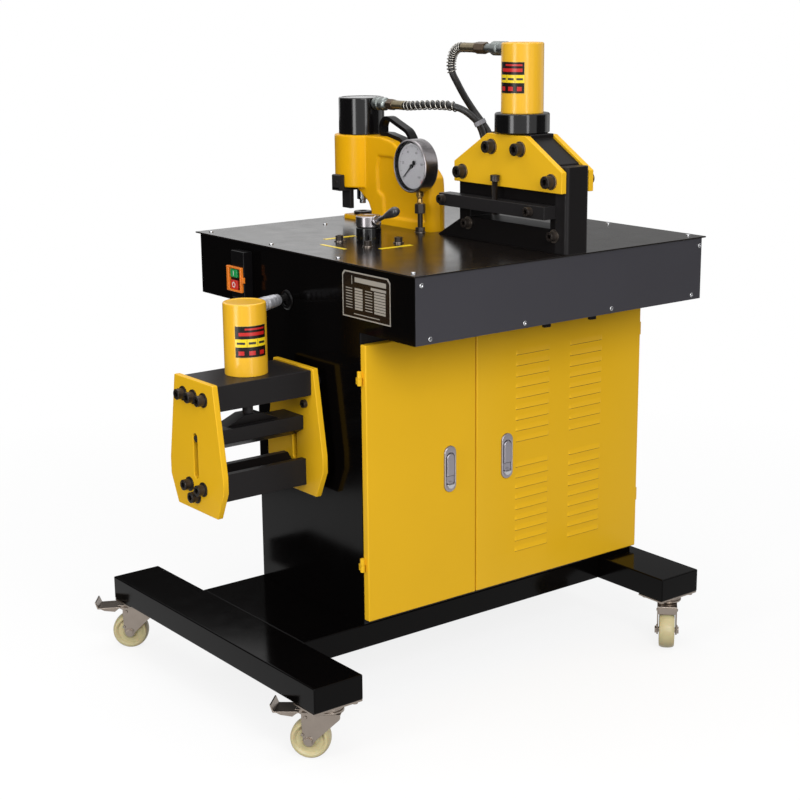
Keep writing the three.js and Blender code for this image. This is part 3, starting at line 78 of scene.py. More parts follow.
# ---------------------------------------------------------------- camera
camera = linked("camera", bpy.data.cameras.new("camera"))
camera.data.lens = 73.71
camera.data.sensor_width = 36
camera.data.clip_end = 60
camera.matrix_world = Matrix((
    (0.7929501, 0.1546751, -0.5893265, -1.9788), (-0.6092108, 0.1860192, -0.7708820, -2.60533),
    (-0.0096102, 0.9702951, 0.2417336, 1.34963), (0, 0, 0, 1)))
bpy.context.scene.camera = camera


# ---------------------------------------------------------------- finishes
def linear(hex_colour):
    """A #rrggbb sRGB colour as linear RGBA."""
    parts = [int(hex_colour[i:i + 2], 16) / 255 for i in (1, 3, 5)]
    return [p / 12.92 if p <= 0.04045 else ((p + 0.055) / 1.055) ** 2.4 for p in parts] + [1.0]


def emptied(owner):
    """The node tree of a material or a world, cleared."""
    owner.use_nodes = True
    owner.node_tree.nodes.clear()
    return owner.node_tree


def add(tree, kind, sockets, **settings):
    """Adds a node. A socket's value is a number, a colour or another node's output."""
    node = tree.nodes.new("ShaderNode" + kind)
    for name, value in settings.items():
        setattr(node, name, value)
    for name, value in sockets.items():
        if isinstance(value, bpy.types.NodeSocket):
            tree.links.new(value, node.inputs[name])
        else:
            node.inputs[name].default_value = value
    return node


def shade(colour, factor):
    return [min(c * factor, 1.0) for c in colour[:3]] + [1.0]


SLOT_OF = {}  # the slot named for each finish, unless a piece names its own; it is looked up, but not stored on the piece


def finish(name, slot, colour, roughness, metallic=0.0, cloud=120, vary=0.05, grain=1.5, bump=0.02,
           stretch=(1, 1, 1), rough_vary=0.04, spec=0.5, edge_tint=None, edge_tint_amount=0.0, **shader):
    """A surface whose colour drifts over `cloud` mm, with a relief of `bump` mm every `grain` mm.
    `stretch` draws the relief out, as brushing or turning does. `edge_tint` is the colour of its sharp edges, where
    pointiness finds them: on the yellow coat a painted highlight, on black paint and bolts a lighter edge."""
    material = bpy.data.materials.new(name)
    SLOT_OF[name] = slot
    tree = emptied(material)
    base = linear(colour)
    where = add(tree, "TexCoord", {}).outputs["Object"]
    drift = add(tree, "TexNoise", {"Vector": where, "Scale": 1 / (cloud * MM), "Detail": 3.0})
    tone = add(tree, "Mix", {0: drift.outputs["Fac"], 6: shade(base, 1 - vary), 7: shade(base, 1 + vary)},
               data_type="RGBA").outputs[2]
    # Sharp edges take the edge colour: a painted highlight on the yellow coat, a lighter edge on black paint and bolts
    if edge_tint:
        edge = add(tree, "MapRange", {
            "Value": add(tree, "NewGeometry", {}).outputs["Pointiness"], "From Min": 0.53, "From Max": 0.62,
            "To Max": edge_tint_amount})
        tone = add(tree, "Mix", {0: edge.outputs["Result"], 6: tone, 7: linear(edge_tint)},
                   data_type="RGBA").outputs[2]
    drawn = add(tree, "Mapping", {"Vector": where, "Scale": stretch}).outputs["Vector"]
    relief = add(tree, "TexNoise", {"Vector": drawn, "Scale": 1 / (grain * MM), "Detail": 2.0})
    dull = add(tree, "MapRange", {
        "Value": relief.outputs["Fac"], "To Min": max(roughness - rough_vary, 0.02),
        "To Max": roughness + rough_vary})
    raised = add(tree, "Bump", {"Height": relief.outputs["Fac"], "Distance": bump * MM, "Strength": 1.0})
    body = add(tree, "BsdfPrincipled", {
        "Base Color": tone, "Metallic": metallic, "Roughness": dull.outputs["Result"],
        "Normal": raised.outputs["Normal"], "Specular IOR Level": spec, **shader})
    add(tree, "OutputMaterial", {"Surface": body.outputs["BSDF"]})
    return material


# Powder coat on sheet steel: even and clean, with a fine orange peel that breaks up reflections
# Its sharp edges get a lighter yellow: a painted highlight
YELLOW = finish("yellow_powder_coat", "yellow_enamel", "#E8B41C", 0.36, grain=3, bump=0.03, vary=0.03,
                edge_tint="#EFC03C", edge_tint_amount=0.25, spec=0.2)
# Brushed-on enamel over sand-cast steel: richer yellow, a lumpy skin under a glossy film
CASTING = finish("yellow_cast_enamel", "yellow_enamel", "#E9AC0B", 0.3, grain=9, bump=0.2, cloud=60, spec=0.14)
# Yellow enamel on turned cylinders: smooth, glossier than the sheets
CYLINDER_YELLOW = finish("yellow_cylinder_enamel", "yellow_enamel", "#EBB42A", 0.22, grain=4, vary=0.02, spec=0.4)
# Baked black lacquer: near-mirror, deep black, with slow waves from the sheet under it
LACQUER = finish("gloss_black_lacquer", "black_gloss", "#060505", 0.12, grain=30, rough_vary=0.03, vary=0.2,
                 spec=0.07)
# The same lacquer on the table's plate, dulled by handling, so tools reflect softly
TABLE_LACQUER = finish("table_black_lacquer", "black_gloss", "#120D0A", 0.2, grain=40, rough_vary=0.05, vary=0.2,
                       spec=0.45)
# Blue-grey powder coat of the skirt: satin, with a soft wide sheen
SATIN = finish("satin_blue_grey_coat", "black_satin", "#3A393E", 0.42, grain=2.5, bump=0.04, vary=0.06, spec=0.25)
# Satin black paint on machined steel: cutter body, bar, beam and dies
SATIN_BLACK = finish("satin_black_paint", "black_satin", "#110F0F", 0.36, grain=3, bump=0.04, vary=0.1,
                     edge_tint="#5C5A5C", edge_tint_amount=0.5, spec=0.1)
# Hot-blacked turned steel: collar, punch cylinder and valve barrel, with faint turning marks round it
BLUED = finish("blued_turned_steel", "black_gloss", "#0A090A", 0.13, grain=3, bump=0.004, stretch=(1, 1, 9),
               vary=0.08, rough_vary=0.02, spec=0.45)
# Black oxide on bolts: brown-black, slightly metallic
OXIDE = finish("black_oxide_bolt", "black_oxide", "#1E1917", 0.33, metallic=0.4, vary=0.15, edge_tint="#6E655E",
               edge_tint_amount=0.5, spec=0.3)
# Bright zinc plate on pressed steel: grey with a faint warm bloom
ZINC = finish("bright_zinc_plate", "zinc_plate", "#8F857C", 0.3, metallic=1.0, cloud=25, vary=0.14, grain=2)
# Dull zinc on the quick couplers: blue-grey, smooth and slightly worn
COUPLER_ZINC = finish("dull_zinc_coupler", "zinc_plate", "#7C817F", 0.34, metallic=0.9, cloud=12, vary=0.18)
# Satin-plated die-cast zinc of the latches
DIE_CAST = finish("satin_die_cast_zinc", "cast_zinc", "#98949A", 0.34, metallic=0.85, cloud=30, vary=0.04)
# Polished stainless steel: cover screws, lock faces and wheel bearings, near-white with sharp glints
POLISHED = finish("polished_stainless", "bright_steel", "#B9B9BB", 0.14, metallic=1.0, cloud=30, vary=0.03,
                  bump=0.004, rough_vary=0.03)
# Fine-brushed stainless steel of the gauge case and the valve's hub: soft streaks, darker than polished
GAUGE_STEEL = finish("brushed_gauge_steel", "bright_steel", "#8C888A", 0.27, metallic=1.0, cloud=30, vary=0.04,
                     grain=1.2, bump=0.006, stretch=(9, 1, 1))
# Ground tool steel of the blade and the punch's ram: bright, with fine straight grinding lines
GROUND = finish("ground_tool_steel", "bright_steel", "#AEB0B3", 0.25, metallic=1.0, grain=1.2, bump=0.01,
                stretch=(1, 8, 1))
# Hydraulic hose cover: smooth black rubber with a soft sheen
RUBBER = finish("hose_rubber", "rubber", "#151414", 0.42, grain=1.2, bump=0.03, vary=0.12)
# Hard nylon wheel: warm cream with a dusty tread
NYLON = finish("cream_nylon", "nylon", "#BFB388", 0.42, cloud=20, vary=0.1, grain=2, bump=0.03,
               **{"Subsurface Weight": 0.1})
# Moulded ABS of the switch, even and slightly glossy; the same in black for the box, handle and clips
ORANGE = finish("orange_abs", "orange_plastic", "#E27A1E", 0.38, vary=0.03)
GREEN = finish("green_abs", "green_plastic", "#1E9A50", 0.3, vary=0.03, bump=0.01)
RED = finish("red_abs", "red_plastic", "#CE3227", 0.3, vary=0.03, bump=0.01)
WHITE = finish("white_print", "nylon", "#E6E4E0", 0.45, vary=0.02, grain=1, bump=0.005)
BLACK_ABS = finish("black_moulded_abs", "rubber", "#0C0B0C", 0.3, spec=0.12)
# Crinkled aluminium foil wrapped round the bender's hose end: bright, soft creases
FOIL_WRAP = finish("aluminium_foil_wrap", "zinc_plate", "#949498", 0.36, metallic=0.5, cloud=6, vary=0.3, grain=5,
                   bump=0.6)
# Painted shadow: a dark enamel strip on the face just under each louvre's lip, where the lip's shade falls
LIP_PAINTED_SHADOW = finish("louvre_lip_painted_shadow_enamel", "yellow_enamel", "#5E420E", 0.6, vary=0.1, grain=3, bump=0.01)
# Plain brass, and the olive and dark chromate over steel of ferrules and nuts
BRASS = finish("brass_fitting", "brass", "#B5955E", 0.28, metallic=1.0, cloud=15, vary=0.1, bump=0.01)
OLIVE = finish("olive_chromate_ferrule", "zinc_plate", "#7E735C", 0.28, metallic=0.85, cloud=10, vary=0.16, bump=0.01)
BRONZE = finish("dark_chromate_nut", "zinc_plate", "#57493A", 0.32, metallic=0.8, cloud=8, vary=0.2)
# Spring steel wire: dark with bright crests
SPRING = finish("spring_steel_wire", "zinc_plate", "#94918B", 0.26, metallic=1.0, cloud=10, vary=0.15, grain=1,
                bump=0.01)
# Grey nylon of the hose tie, dull
TIE = finish("grey_nylon_tie", "rubber", "#8F8F96", 0.4, vary=0.04)
# Printed vinyl of the bands, foil of their edge and of the rating plate's blank fields
VINYL_BLACK = finish("black_vinyl", "black_gloss", "#140D0B", 0.28, vary=0.06, grain=2, bump=0.01, spec=0.25)
VINYL_YELLOW = finish("yellow_vinyl", "black_gloss", "#F2D21C", 0.3, vary=0.03, grain=2, bump=0.01)
VINYL_RED = finish("red_vinyl", "red_plastic", "#C01F1C", 0.3, vary=0.04, grain=2, bump=0.01)
FOIL = finish("silver_foil_plate", "bright_steel", "#B4B0A8", 0.4, metallic=0.4, cloud=20, vary=0.06, grain=1.2,
              bump=0.01)
GOLD = finish("gold_foil_edge", "black_gloss", "#B79A4A", 0.35, metallic=0.6, grain=1, bump=0.005)
# Dial card, matt white-grey
DIAL = finish("dial_card", "bright_steel", "#AFABAF", 0.55, vary=0.02, grain=1, bump=0.003)
# Phenolic grip of the lever: dark grey, polished by hands
GRIP = finish("dark_grey_phenolic", "rubber", "#2E2D31", 0.28, vary=0.06, grain=2, bump=0.01)
# Flat printing inks of the dial and the bands
INK = finish("black_ink", "rubber", "#141414", 0.5, grain=1, bump=0.002)
RED_INK = finish("red_ink", "red_plastic", "#C23A36", 0.5, grain=1, bump=0.002)
# Grey paint of the oil tank
TANK_GREY = finish("tank_grey_paint", "black_satin", "#4A4C50", 0.4, grain=3, bump=0.03)
# The gauge's pane: clear, so only a faint sheen tells that it is there
GLASS = finish("gauge_glass", "bright_steel", "#F4F6F6", 0.04, vary=0.0, grain=20, bump=0.0, rough_vary=0.02,
               **{"Transmission Weight": 1.0, "IOR": 1.12})


# ---------------------------------------------------------------- shapes
def rounded(bm, geom, width, segments, affect="EDGES"):
    bmesh.ops.bevel(bm, geom=geom, offset=width, offset_type="OFFSET", segments=segments, profile=0.5,
                    affect=affect, clamp_overlap=True, material=-1)


def eased(bm, width, segments=2, angle=25, where=lambda edge: True):
    """Rounds the edges that turn more than an angle."""
    sharp = [e for e in bm.edges if len(e.link_faces) == 2 and e.calc_face_angle(0) > math.radians(angle)
             and where(e)]
    if width and sharp:
        rounded(bm, sharp, width, segments)
    return bm


def spans(edge, axis, length):
    """Whether an edge runs further than a length along an axis."""
    return abs(edge.verts[0].co[axis] - edge.verts[1].co[axis]) > length


def faced(bm):
    bmesh.ops.recalc_face_normals(bm, faces=bm.faces[:])


def thickened(bm, by):
    """Draws flat faces out into a solid."""
    made = bmesh.ops.extrude_face_region(bm, geom=bm.faces[:])
    bmesh.ops.translate(bm, vec=by, verts=[g for g in made["geom"] if isinstance(g, bmesh.types.BMVert)])
    faced(bm)


def sliced(bm, flat, reach, drop=False):
    """Cuts a shape along a plane so far out along its normal. What lies beyond may be dropped."""
    bmesh.ops.bisect_plane(bm, geom=bm.verts[:] + bm.edges[:] + bm.faces[:], plane_co=Vector(flat) * reach,
                           plane_no=flat, clear_outer=drop, dist=0.001)


def moved(bm, matrix):
    bmesh.ops.transform(bm, matrix=matrix, verts=bm.verts[:])
    return bm


def slab(x, y, z, ease=0.8, segments=2):
    bm = bmesh.new()
    middle = Vector([(a + b) / 2 for a, b in (x, y, z)])
    size = Matrix.Diagonal([b - a for a, b in (x, y, z)] + [1])
    bmesh.ops.create_cube(bm, size=1, matrix=Matrix.Translation(middle) @ size)
    return eased(bm, ease, segments)


AXES = {"x": lambda u, v, w: (w, u, v), "y": lambda u, v, w: (u, w, v), "z": lambda u, v, w: (u, v, w)}


def profiled(axis, outline, start, end, holes=(), ease=0.8, segments=2, corner=0):
    """A plate or bar of one outline along an axis. Its corners may be rounded before it gets its thickness."""
    bm = bmesh.new()
    at = AXES[axis]
    edges = []
    for loop in (outline, *holes):
        verts = [bm.verts.new(at(u, v, start)) for u, v in loop]
        edges += [bm.edges.new(pair) for pair in zip(verts, verts[1:] + verts[:1])]
    if holes:
        bmesh.ops.triangle_fill(bm, use_beauty=True, edges=edges)
    else:
        bmesh.ops.contextual_create(bm, geom=edges)
    if corner:
        rounded(bm, bm.verts[:], corner, 5, "VERTICES")
    thickened(bm, at(0, 0, end - start))
    return eased(bm, ease, segments)


def rect(u, v):
    """A rectangle's corners for an outline."""
    return [(u[0], v[0]), (u[1], v[0]), (u[1], v[1]), (u[0], v[1])]


def ring_of(radius, at, sides=48):
    """A circle's corners for a hole."""
    return [(at[0] + radius * math.cos(math.tau * i / sides), at[1] + radius * math.sin(math.tau * i / sides))
            for i in range(sides)]


HALF_ROUND = [math.pi * i / 20 for i in range(21)]


def stadium(width, height, at=(0, 0)):
    """Corners of an upright slot shape with round ends."""
    radius, reach = width / 2, (height - width) / 2
    return ([(at[0] + radius * math.cos(a), at[1] + reach + radius * math.sin(a)) for a in HALF_ROUND]
            + [(at[0] - radius * math.cos(a), at[1] - reach - radius * math.sin(a)) for a in HALF_ROUND])


def rod(radius, low, high):
    """The profile of a plain round bar."""
    return [(0, low), (radius, low), (radius, high), (0, high)]


def tube(inner, outer, low, high):
    """The closed profile of a plain ring."""
    return [(inner, low), (outer, low), (outer, high), (inner, high), (inner, low)]


def stood(bm, at=(0, 0, 0), towards=UP, turn=0.0):
    """Puts a shape made on Z so that it points along a direction from a place."""
    lean = UP.rotation_difference(Vector(towards)).to_matrix().to_4x4()
    return moved(bm, Matrix.Translation(Vector(at)) @ lean @ Matrix.Rotation(math.radians(turn), 4, "Z"))


def turned(profile, sides=64, ease=0.0, at=(0, 0, 0), towards=UP, turn=0.0, sweep=360.0, begin=0.0):
    """A (radius, height) profile turned about Z, then stood at a place. A profile that isn't closed
    starts and ends on the axis."""
    bm = bmesh.new()
    start = Matrix.Rotation(math.radians(begin), 4, "Z")
    verts = [bm.verts.new(start @ Vector((r, 0, h))) for r, h in profile]
    edges = [bm.edges.new(pair) for pair in zip(verts, verts[1:])]
    bmesh.ops.spin(bm, geom=verts + edges, cent=(0, 0, 0), axis=UP, angle=math.radians(sweep), steps=sides,
                   use_merge=sweep >= 360)
    bmesh.ops.remove_doubles(bm, verts=bm.verts[:], dist=0.0005)
    faced(bm)
    return stood(eased(bm, ease), at, towards, turn)


def swept(profile, sides, angles, at=(0, 0, 0), towards=UP):
    """A closed profile turned only part of the way round, with its ends capped."""
    strip = turned(profile, sides, sweep=angles[1] - angles[0], begin=angles[0])
    bmesh.ops.holes_fill(strip, edges=strip.edges[:], sides=4)
    faced(strip)
    return stood(strip, at, towards)


def hexed(radius, height, ease, bottom=0.0):
    """A hexagon nut body on Z, its corners eased."""
    bm = bmesh.new()
    bmesh.ops.create_cone(bm, cap_ends=True, segments=6, radius1=radius, radius2=radius, depth=height,
                          matrix=Matrix.Translation((0, 0, bottom + height / 2)))
    return eased(bm, ease)


def joined(*parts):
    """One shape from several. A part may itself be a list of shapes."""
    whole = bmesh.new()
    for part in parts:
        held = meshed("held", part if isinstance(part, bmesh.types.BMesh) else joined(*part))
        whole.from_mesh(held)
        bpy.data.meshes.remove(held)
    return whole


def socket_screw(head, height, washer=0.0, thick=0.0, rounding=0.9, socket=0.56):
    """A hexagon socket screw's head on its washer, standing on z = 0. Returned as (head, washer)."""
    bm = bmesh.new()
    bmesh.ops.create_circle(bm, cap_ends=True, radius=head, segments=36,
                            matrix=Matrix.Translation((0, 0, thick)))
    thickened(bm, (0, 0, height))
    top = thick + height
    eased(bm, rounding, 3, where=lambda e: min(v.co.z for v in e.verts) > top - 0.01)
    face = max(bm.faces, key=lambda f: f.calc_center_median().z)
    bmesh.ops.inset_region(bm, faces=[face], thickness=head * (1 - socket) - rounding, use_even_offset=True)
    flat = head * socket * 0.87
    for v in face.verts:
        around = math.atan2(v.co.y, v.co.x) % (math.pi / 3) - math.pi / 6
        v.co.xy = v.co.xy.normalized() * flat / math.cos(around)
    sunk = bmesh.ops.extrude_discrete_faces(bm, faces=[face])["faces"][0]
    bmesh.ops.translate(bm, vec=(0, 0, -height * 0.55), verts=sunk.verts)
    return bm, turned(tube(head * 0.6, washer, 0, thick), 36, 0.4) if washer else None


def screws(places, towards, *size, **looks):
    """Heads and washers of the same screw at several places."""
    heads, washers = [], []
    for number, place in enumerate(places):
        head, washer = socket_screw(*size, **looks)
        heads.append(stood(head, place, towards, turn=17 * number))
        if washer:
            washers.append(stood(washer, place, towards))
    return heads, washers


def assigned(made, surface, replaces, body, slot):
    """Gives an object its finish, the body it rides on and the CAD nodes it stands for."""
    made.data.materials.append(surface)
    slot = slot or SLOT_OF[surface.name]
    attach(made, body)
    if replaces:
        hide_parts(*replaces)
    return made


def piece(name, bm, surface, replaces=(), body="machine", slot=None, smooth=32):
    """Brings a shape into the row frame as a finished piece that rides on a body."""
    if not isinstance(bm, bmesh.types.BMesh):
        bm = joined(*bm)
    data = meshed(name, moved(bm, TO_ROW))
    data.shade_smooth()
    data.set_sharp_from_angle(angle=math.radians(smooth))
    made = linked(name, data)
    # Rounded edges don't bend the light on flat faces
    made.modifiers.new("flat_faces", "WEIGHTED_NORMAL").keep_sharp = True
    return assigned(made, surface, replaces, body, slot)


def bolted(name, washers_name, places, towards, *size, washer_finish=ZINC, **looks):
    """Black socket screws and their washers, as two pieces."""
    heads, washers = screws(places, towards, *size, **looks)
    piece(name, heads, OXIDE)
    piece(washers_name, washers, washer_finish)


def cover_screws(name, places, towards):
    heads, _ = screws(places, towards, 4.5, 2.6, rounding=1.3, socket=0.5)
    piece(name, heads, POLISHED, slot="zinc_plate")


def run(name, points, radius, fineness, surface, replaces):
    """A round wire or hose along points, as a curve."""
    curve = bpy.data.curves.new(name, "CURVE")
    curve.dimensions = "3D"
    curve.bevel_depth = radius * MM
    curve.bevel_resolution = fineness
    curve.use_fill_caps = True
    line = curve.splines.new("POLY")
    line.points.add(len(points) - 1)
    for place, point in zip(line.points, points):
        place.co = (*row(point), 1)
    line.use_smooth = True
    return assigned(linked(name, curve), surface, replaces, "machine", None)


# ---------------------------------------------------------------- hoses
HOSE_RADIUS = 7
GUARD_RADIUS, WIRE_RADIUS = 8.9, 1.3
CUTTER_ROUTE = [(17, -35.7, 377), (17, -29, 377), (17, -17, 374), (17, -5, 364), (17, 1, 347), (18, 0, 328),
                (30, -2, 305), (50, -4, 274), (67, -11, 247), (78, -24, 224), (84, -40, 200), (86, -52, 165),
                (86, -59, 110), (86, -60, 40), (86, -60, -24)]
PUNCH_ROUTE = [(17, 155.7, 253), (17, 146, 253), (17, 124, 254.5), (17, 90, 257), (17, 38, 259.5), (17, -8, 258.5),
               (27, -24, 252), (39, -34, 241), (51, -42, 226), (60, -46, 205), (66, -50, 170), (68, -52, 110),
               (68, -52, 40), (68, -52, -24)]


def laid(route, between=8):
    """The hose's smooth line through its route: a centripetal spline."""
    points = [Vector(p) for p in route]
    points = [2 * points[0] - points[1], *points, 2 * points[-1] - points[-2]]
    line = []
    for a, b, c, d in zip(points, points[1:], points[2:], points[3:]):
        before, along, after = ((q - p).length ** 0.5 for p, q in ((a, b), (b, c), (c, d)))
        leave = ((b - a) / before - (c - a) / (before + along) + (c - b) / along) * along
        reach = ((c - b) / along - (d - b) / (along + after) + (d - c) / after) * along
        for i in range(between):
            t = i / between
            line.append(b * (2 * t ** 3 - 3 * t ** 2 + 1) + leave * (t ** 3 - 2 * t ** 2 + t)
                        + c * (3 * t ** 2 - 2 * t ** 3) + reach * (t ** 3 - t ** 2))
    return line + [points[-2]]


def lengths(line):
    """How far along the line each point is."""
    far = [0.0]
    for a, b in zip(line, line[1:]):
        far.append(far[-1] + (b - a).length)
    return far


def guard_coil(line, gaps, start=1.2, steps=24):
    """A spring guard's wire round the first stretch of a hose; gaps are the distances between its curls."""
    far = lengths(line)
    points = []
    for gap in gaps:
        for i in range(steps):
            at = start + gap * i / steps
            k = max(j for j in range(len(far) - 1) if far[j] <= at)
            along = (line[k + 1] - line[k]).normalized()
            over = along.cross(Vector(RIGHT)).normalized()
            out = over.cross(along).normalized()
            spot = line[k] + along * (at - far[k])
            angle = math.tau * i / steps
            points.append(spot + out * GUARD_RADIUS * math.cos(angle) + over * GUARD_RADIUS * math.sin(angle))
        start += gap
    return points


cutter_line, punch_line = laid(CUTTER_ROUTE), laid(PUNCH_ROUTE)
for tool, line in (("cutter", cutter_line), ("punch", punch_line)):
    hose = run(tool + "_hose_line", line, HOSE_RADIUS, 8, RUBBER, [tool + "_hose"])
for tool, line, gaps in (("cutter", cutter_line, [6.1] * 12), ("punch", punch_line, [10, 12, 14] + [17] * 8)):
    run(tool + "_guard", guard_coil(line, gaps), WIRE_RADIUS, 3, SPRING, [tool + "_spring"])

# The grey tie that holds both hoses together
tied = [Vector((78, -24, 224)), Vector((51, -42, 226))]
apart = tied[0] - tied[1]
down = Vector((0.3, -0.35, -0.88)).normalized()
across = (apart - down * apart.dot(down)).normalized()
hollow = apart.length + 2 * HOSE_RADIUS
tie = profiled("z", stadium(2 * HOSE_RADIUS + 3, hollow + 3), -4.5, 4.5, [stadium(2 * HOSE_RADIUS, hollow)], 0.4)
frame_of_tie = Matrix((down.cross(across) * -1, across, down)).transposed().to_4x4()
moved(tie, Matrix.Translation((tied[0] + tied[1]) / 2) @ frame_of_tie)
faced(tie)
piece("hose_tie", tie, TIE)

# Rubber grommets where the hoses go through the table
HOSE_HOLES = {"cutter": (86, -60), "punch": (68, -52)}
for tool, spot in HOSE_HOLES.items():
    ring = [(7.3, -4), (9, -4), (9, 0), (10.8, 0), (10.8, 1.2), (7.3, 2), (7.3, -4)]
    piece(tool + "_hose_grommet", turned(ring, 40, 0.4, at=(*spot, 0)), RUBBER)


def coupler(name, y, towards, z, cuts, node):
    """A quick coupler along Y: zinc rings, a hexagon nut and the hose's ferrule. `cuts` are where each ends."""
    rings, neck, nut, end = cuts
    half, step = rings / 2, rings * 0.3
    place = {"at": (TOOL_X, y, z), "towards": towards}
    zinc = turned([(0, 0), (13, 0), (13.9, 1.5), (13.9, half - 3), (11.6, half - 1), (11.6, half + 1),
                   (13.9, half + 3), (13.9, rings - 3), (12, rings), (9.5, rings + 1), (8.6, neck), (0, neck)],
                  40, 0.7, **place)
    collar = turned(tube(8, 13.9, step - 1, step + 1.4), 40, 0.5, **place)
    shoulder = turned([(0, nut - 1), (11, nut - 1), (11, nut + 2), (10, nut + 3), (0, nut + 3)], 40, 0.5, **place)
    ferrule = turned([(0, nut), (10, nut), (10, nut + (end - nut) * 0.25), (9.6, nut + (end - nut) * 0.28),
                      (9.6, end - 6), (10, end - 4), (9.4, end), (0, end)], 40, 0.6, **place)
    piece(name, [zinc, collar], COUPLER_ZINC, [node])
    piece(name + "_nut", [stood(hexed(12.4, nut - neck, 1.2, neck), turn=12, **place), shoulder], BRONZE)
    piece(name + "_ferrule", ferrule, OLIVE)


coupler("cutter_coupler", -170.8, BACK, 377, (42, 62, 90, 134.8), "cutter_coupling")
coupler("punch_coupler", 258.5, FRONT, 253, (38, 46, 64, 102.4), "punch_coupling")

# The bender's hose end leans towards the grommet in the side panel
hose_end = {"at": (BENDER_X, BENDER_Y, -93), "towards": Matrix.Rotation(math.radians(23.6), 3, "Z") @ Vector(RIGHT)}
sleeve = turned([(0, 41.5), (12.5, 41.5), (14, 45), (10.6, 49), (14, 53), (11, 58), (13.8, 62), (10.4, 67), (14, 72),
                 (11, 76), (13.4, 81), (10.4, 85), (13.2, 91), (10.4, 96), (12.8, 101), (10, 106), (11.8, 112),
                 (8.6, 118), (0, 118)], 36, 0.5, **hose_end)
tail = turned([(0, 118), (8, 118), (8, 124), (6, 126), (6, 153), (0, 153)], 36, 0.8, **hose_end)
piece("bender_coupler", [sleeve], FOIL_WRAP, ["bender_coupling"])
piece("bender_coupler_tail", [tail], RUBBER)


# ---------------------------------------------------------------- table and cabinet
def box_of(x, y, z, wall, opens, rounding=2.0):
    """A folded sheet box, open at an axis's far end: the blank's folds are rounded, then it gets its wall."""
    bm = slab(x, y, z, 0)
    lid = max(bm.faces, key=lambda f: f.calc_center_median()["xyz".index(opens)])
    bmesh.ops.delete(bm, geom=[lid], context="FACES_ONLY")
    eased(bm, rounding, 3)
    bmesh.ops.solidify(bm, geom=bm.faces[:], thickness=wall)
    return bm


TABLE_HALF = 375
VALVE_X, VALVE_Y = -190, 10
PANEL_X = -373
punch_slot = [(-13, 34), (-13, 346), (47, 346), (47, 34)]
plate = profiled("z", rect((-TABLE_HALF, TABLE_HALF), (-TABLE_HALF, TABLE_HALF)), -PLATE, 0, ease=0.7, holes=[
    punch_slot, ring_of(25.8, (VALVE_X, VALVE_Y)), *(ring_of(9.2, spot, 24) for spot in HOSE_HOLES.values())])
piece("table_plate", plate, TABLE_LACQUER, ["table_top"])
piece("punch_tray", box_of((-16, 50), (31, 349), (-63, -3), PLATE, "z"), LACQUER)
cover_screws("table_screws", [(x, y, 0) for x in (-354, 354) for y in (-345, -115, 115, 345)] + [(-107, 281, 0)], UP)
bolted("valve_bolts", "valve_bolt_washers",
       [(VALVE_X + i * 38, VALVE_Y + j * 48, 0) for i in (-1, 1) for j in (-1, 1)], UP, 8, 10, 10.5, 2)
strips = [slab(x, y, (0, 0.5), 0.2) for x, y in (
    ((-285, -277), (-36, 45)), ((-236, -160), (92, 104)), ((-228, -150), (-84, -72)))]
piece("valve_position_strips", strips, VINYL_YELLOW, slot="yellow_enamel")

skirt = profiled("z", [(-371, -372), (367, -372), (367, 358), (-371, 358), (-371, 356), (365, 356), (365, -370),
                       (-371, -370)], -127, -PLATE, ease=0)
eased(skirt, 2.2, 4, where=lambda e: spans(e, 2, 50) and e.verts[0].co.x > 366)
eased(skirt, 0.5, 2, angle=60)
piece("table_skirt_sheet", skirt, SATIN, ["table_skirt"])
cover_screws("skirt_screws", [(x, -372, z) for x, z in (
    (-358, -18), (358, -18), (-339, -117), (339, -117), (-113, -117), (113, -117))], FRONT)
clips = [slab((x - 8, x + 8), (-369.6, -361), (-134, -110), 1.2) for x in (-51, 68)]
piece("skirt_clips", clips, BLACK_ABS)

CABINET_LOW = -705.7
HOSE_PORT = (34, -98.6)
panel = profiled("x", [(-372, -3), (-372, -127), (-205, -127), (-205, CABINET_LOW), (151, CABINET_LOW), (151, -127),
                       (358, -127), (358, -3)], PANEL_X, PANEL_X + 2, holes=[ring_of(12, HOSE_PORT, 40)], ease=0.5)
piece("left_t_panel", panel, LACQUER, ["left_side_panel"])
grommet = turned([(12, 0), (20, 0), (20, 2), (17, 4), (13, 4), (12, 3), (12, 0)], 48, 0.8,
                 at=(PANEL_X, *HOSE_PORT), towards=LEFT)
piece("panel_grommet", grommet, BLACK_ABS)

shell = slab((-370.9, 354), (-205, 151), (CABINET_LOW, -3), 0)
for flat, reach in ((RIGHT, -355), (RIGHT, 338), (UP, -150), (UP, -696), (RIGHT, -20), (RIGHT, 54), (UP, -67)):
    sliced(shell, flat, reach)
gone = []
for face in shell.faces:
    c = face.calc_center_median()
    doorway = c.y < -204 and -355 < c.x < 338 and -696 < c.z < -150
    notch = c.y > 150 and -20 < c.x < 54 and c.z > -67
    if doorway or notch or c.z > -4:
        gone.append(face)
bmesh.ops.delete(shell, geom=gone, context="FACES")
eased(shell, 2, 3, angle=60)
bmesh.ops.solidify(shell, geom=shell.faces[:], thickness=2)
piece("cabinet_sheet", shell, SATIN_BLACK, ["cabinet_body"])

# H-shaped base of two feet and the middle box, each a folded box with rounded edges
base = [slab(x, y, (-754.4, CABINET_LOW), 2.6, 3) for x, y in (
    ((-622, -515), (-395, 349)), ((257, 364), (-395, 349)), ((-516, 258), (-205, 160)))]
piece("h_base", base, LACQUER, ["base_frame"])


# ---------------------------------------------------------------- doors
DOOR_FACE, DOOR_BACK = -220, -205.3
DOOR_Z = (-696, -150)
HINGE_Y, HINGE_TOPS, KNUCKLE, HINGE_GAP = -208.7, (-200, -568), 13.4, 0.3
LEFT_PIN, RIGHT_PIN = -377, 359


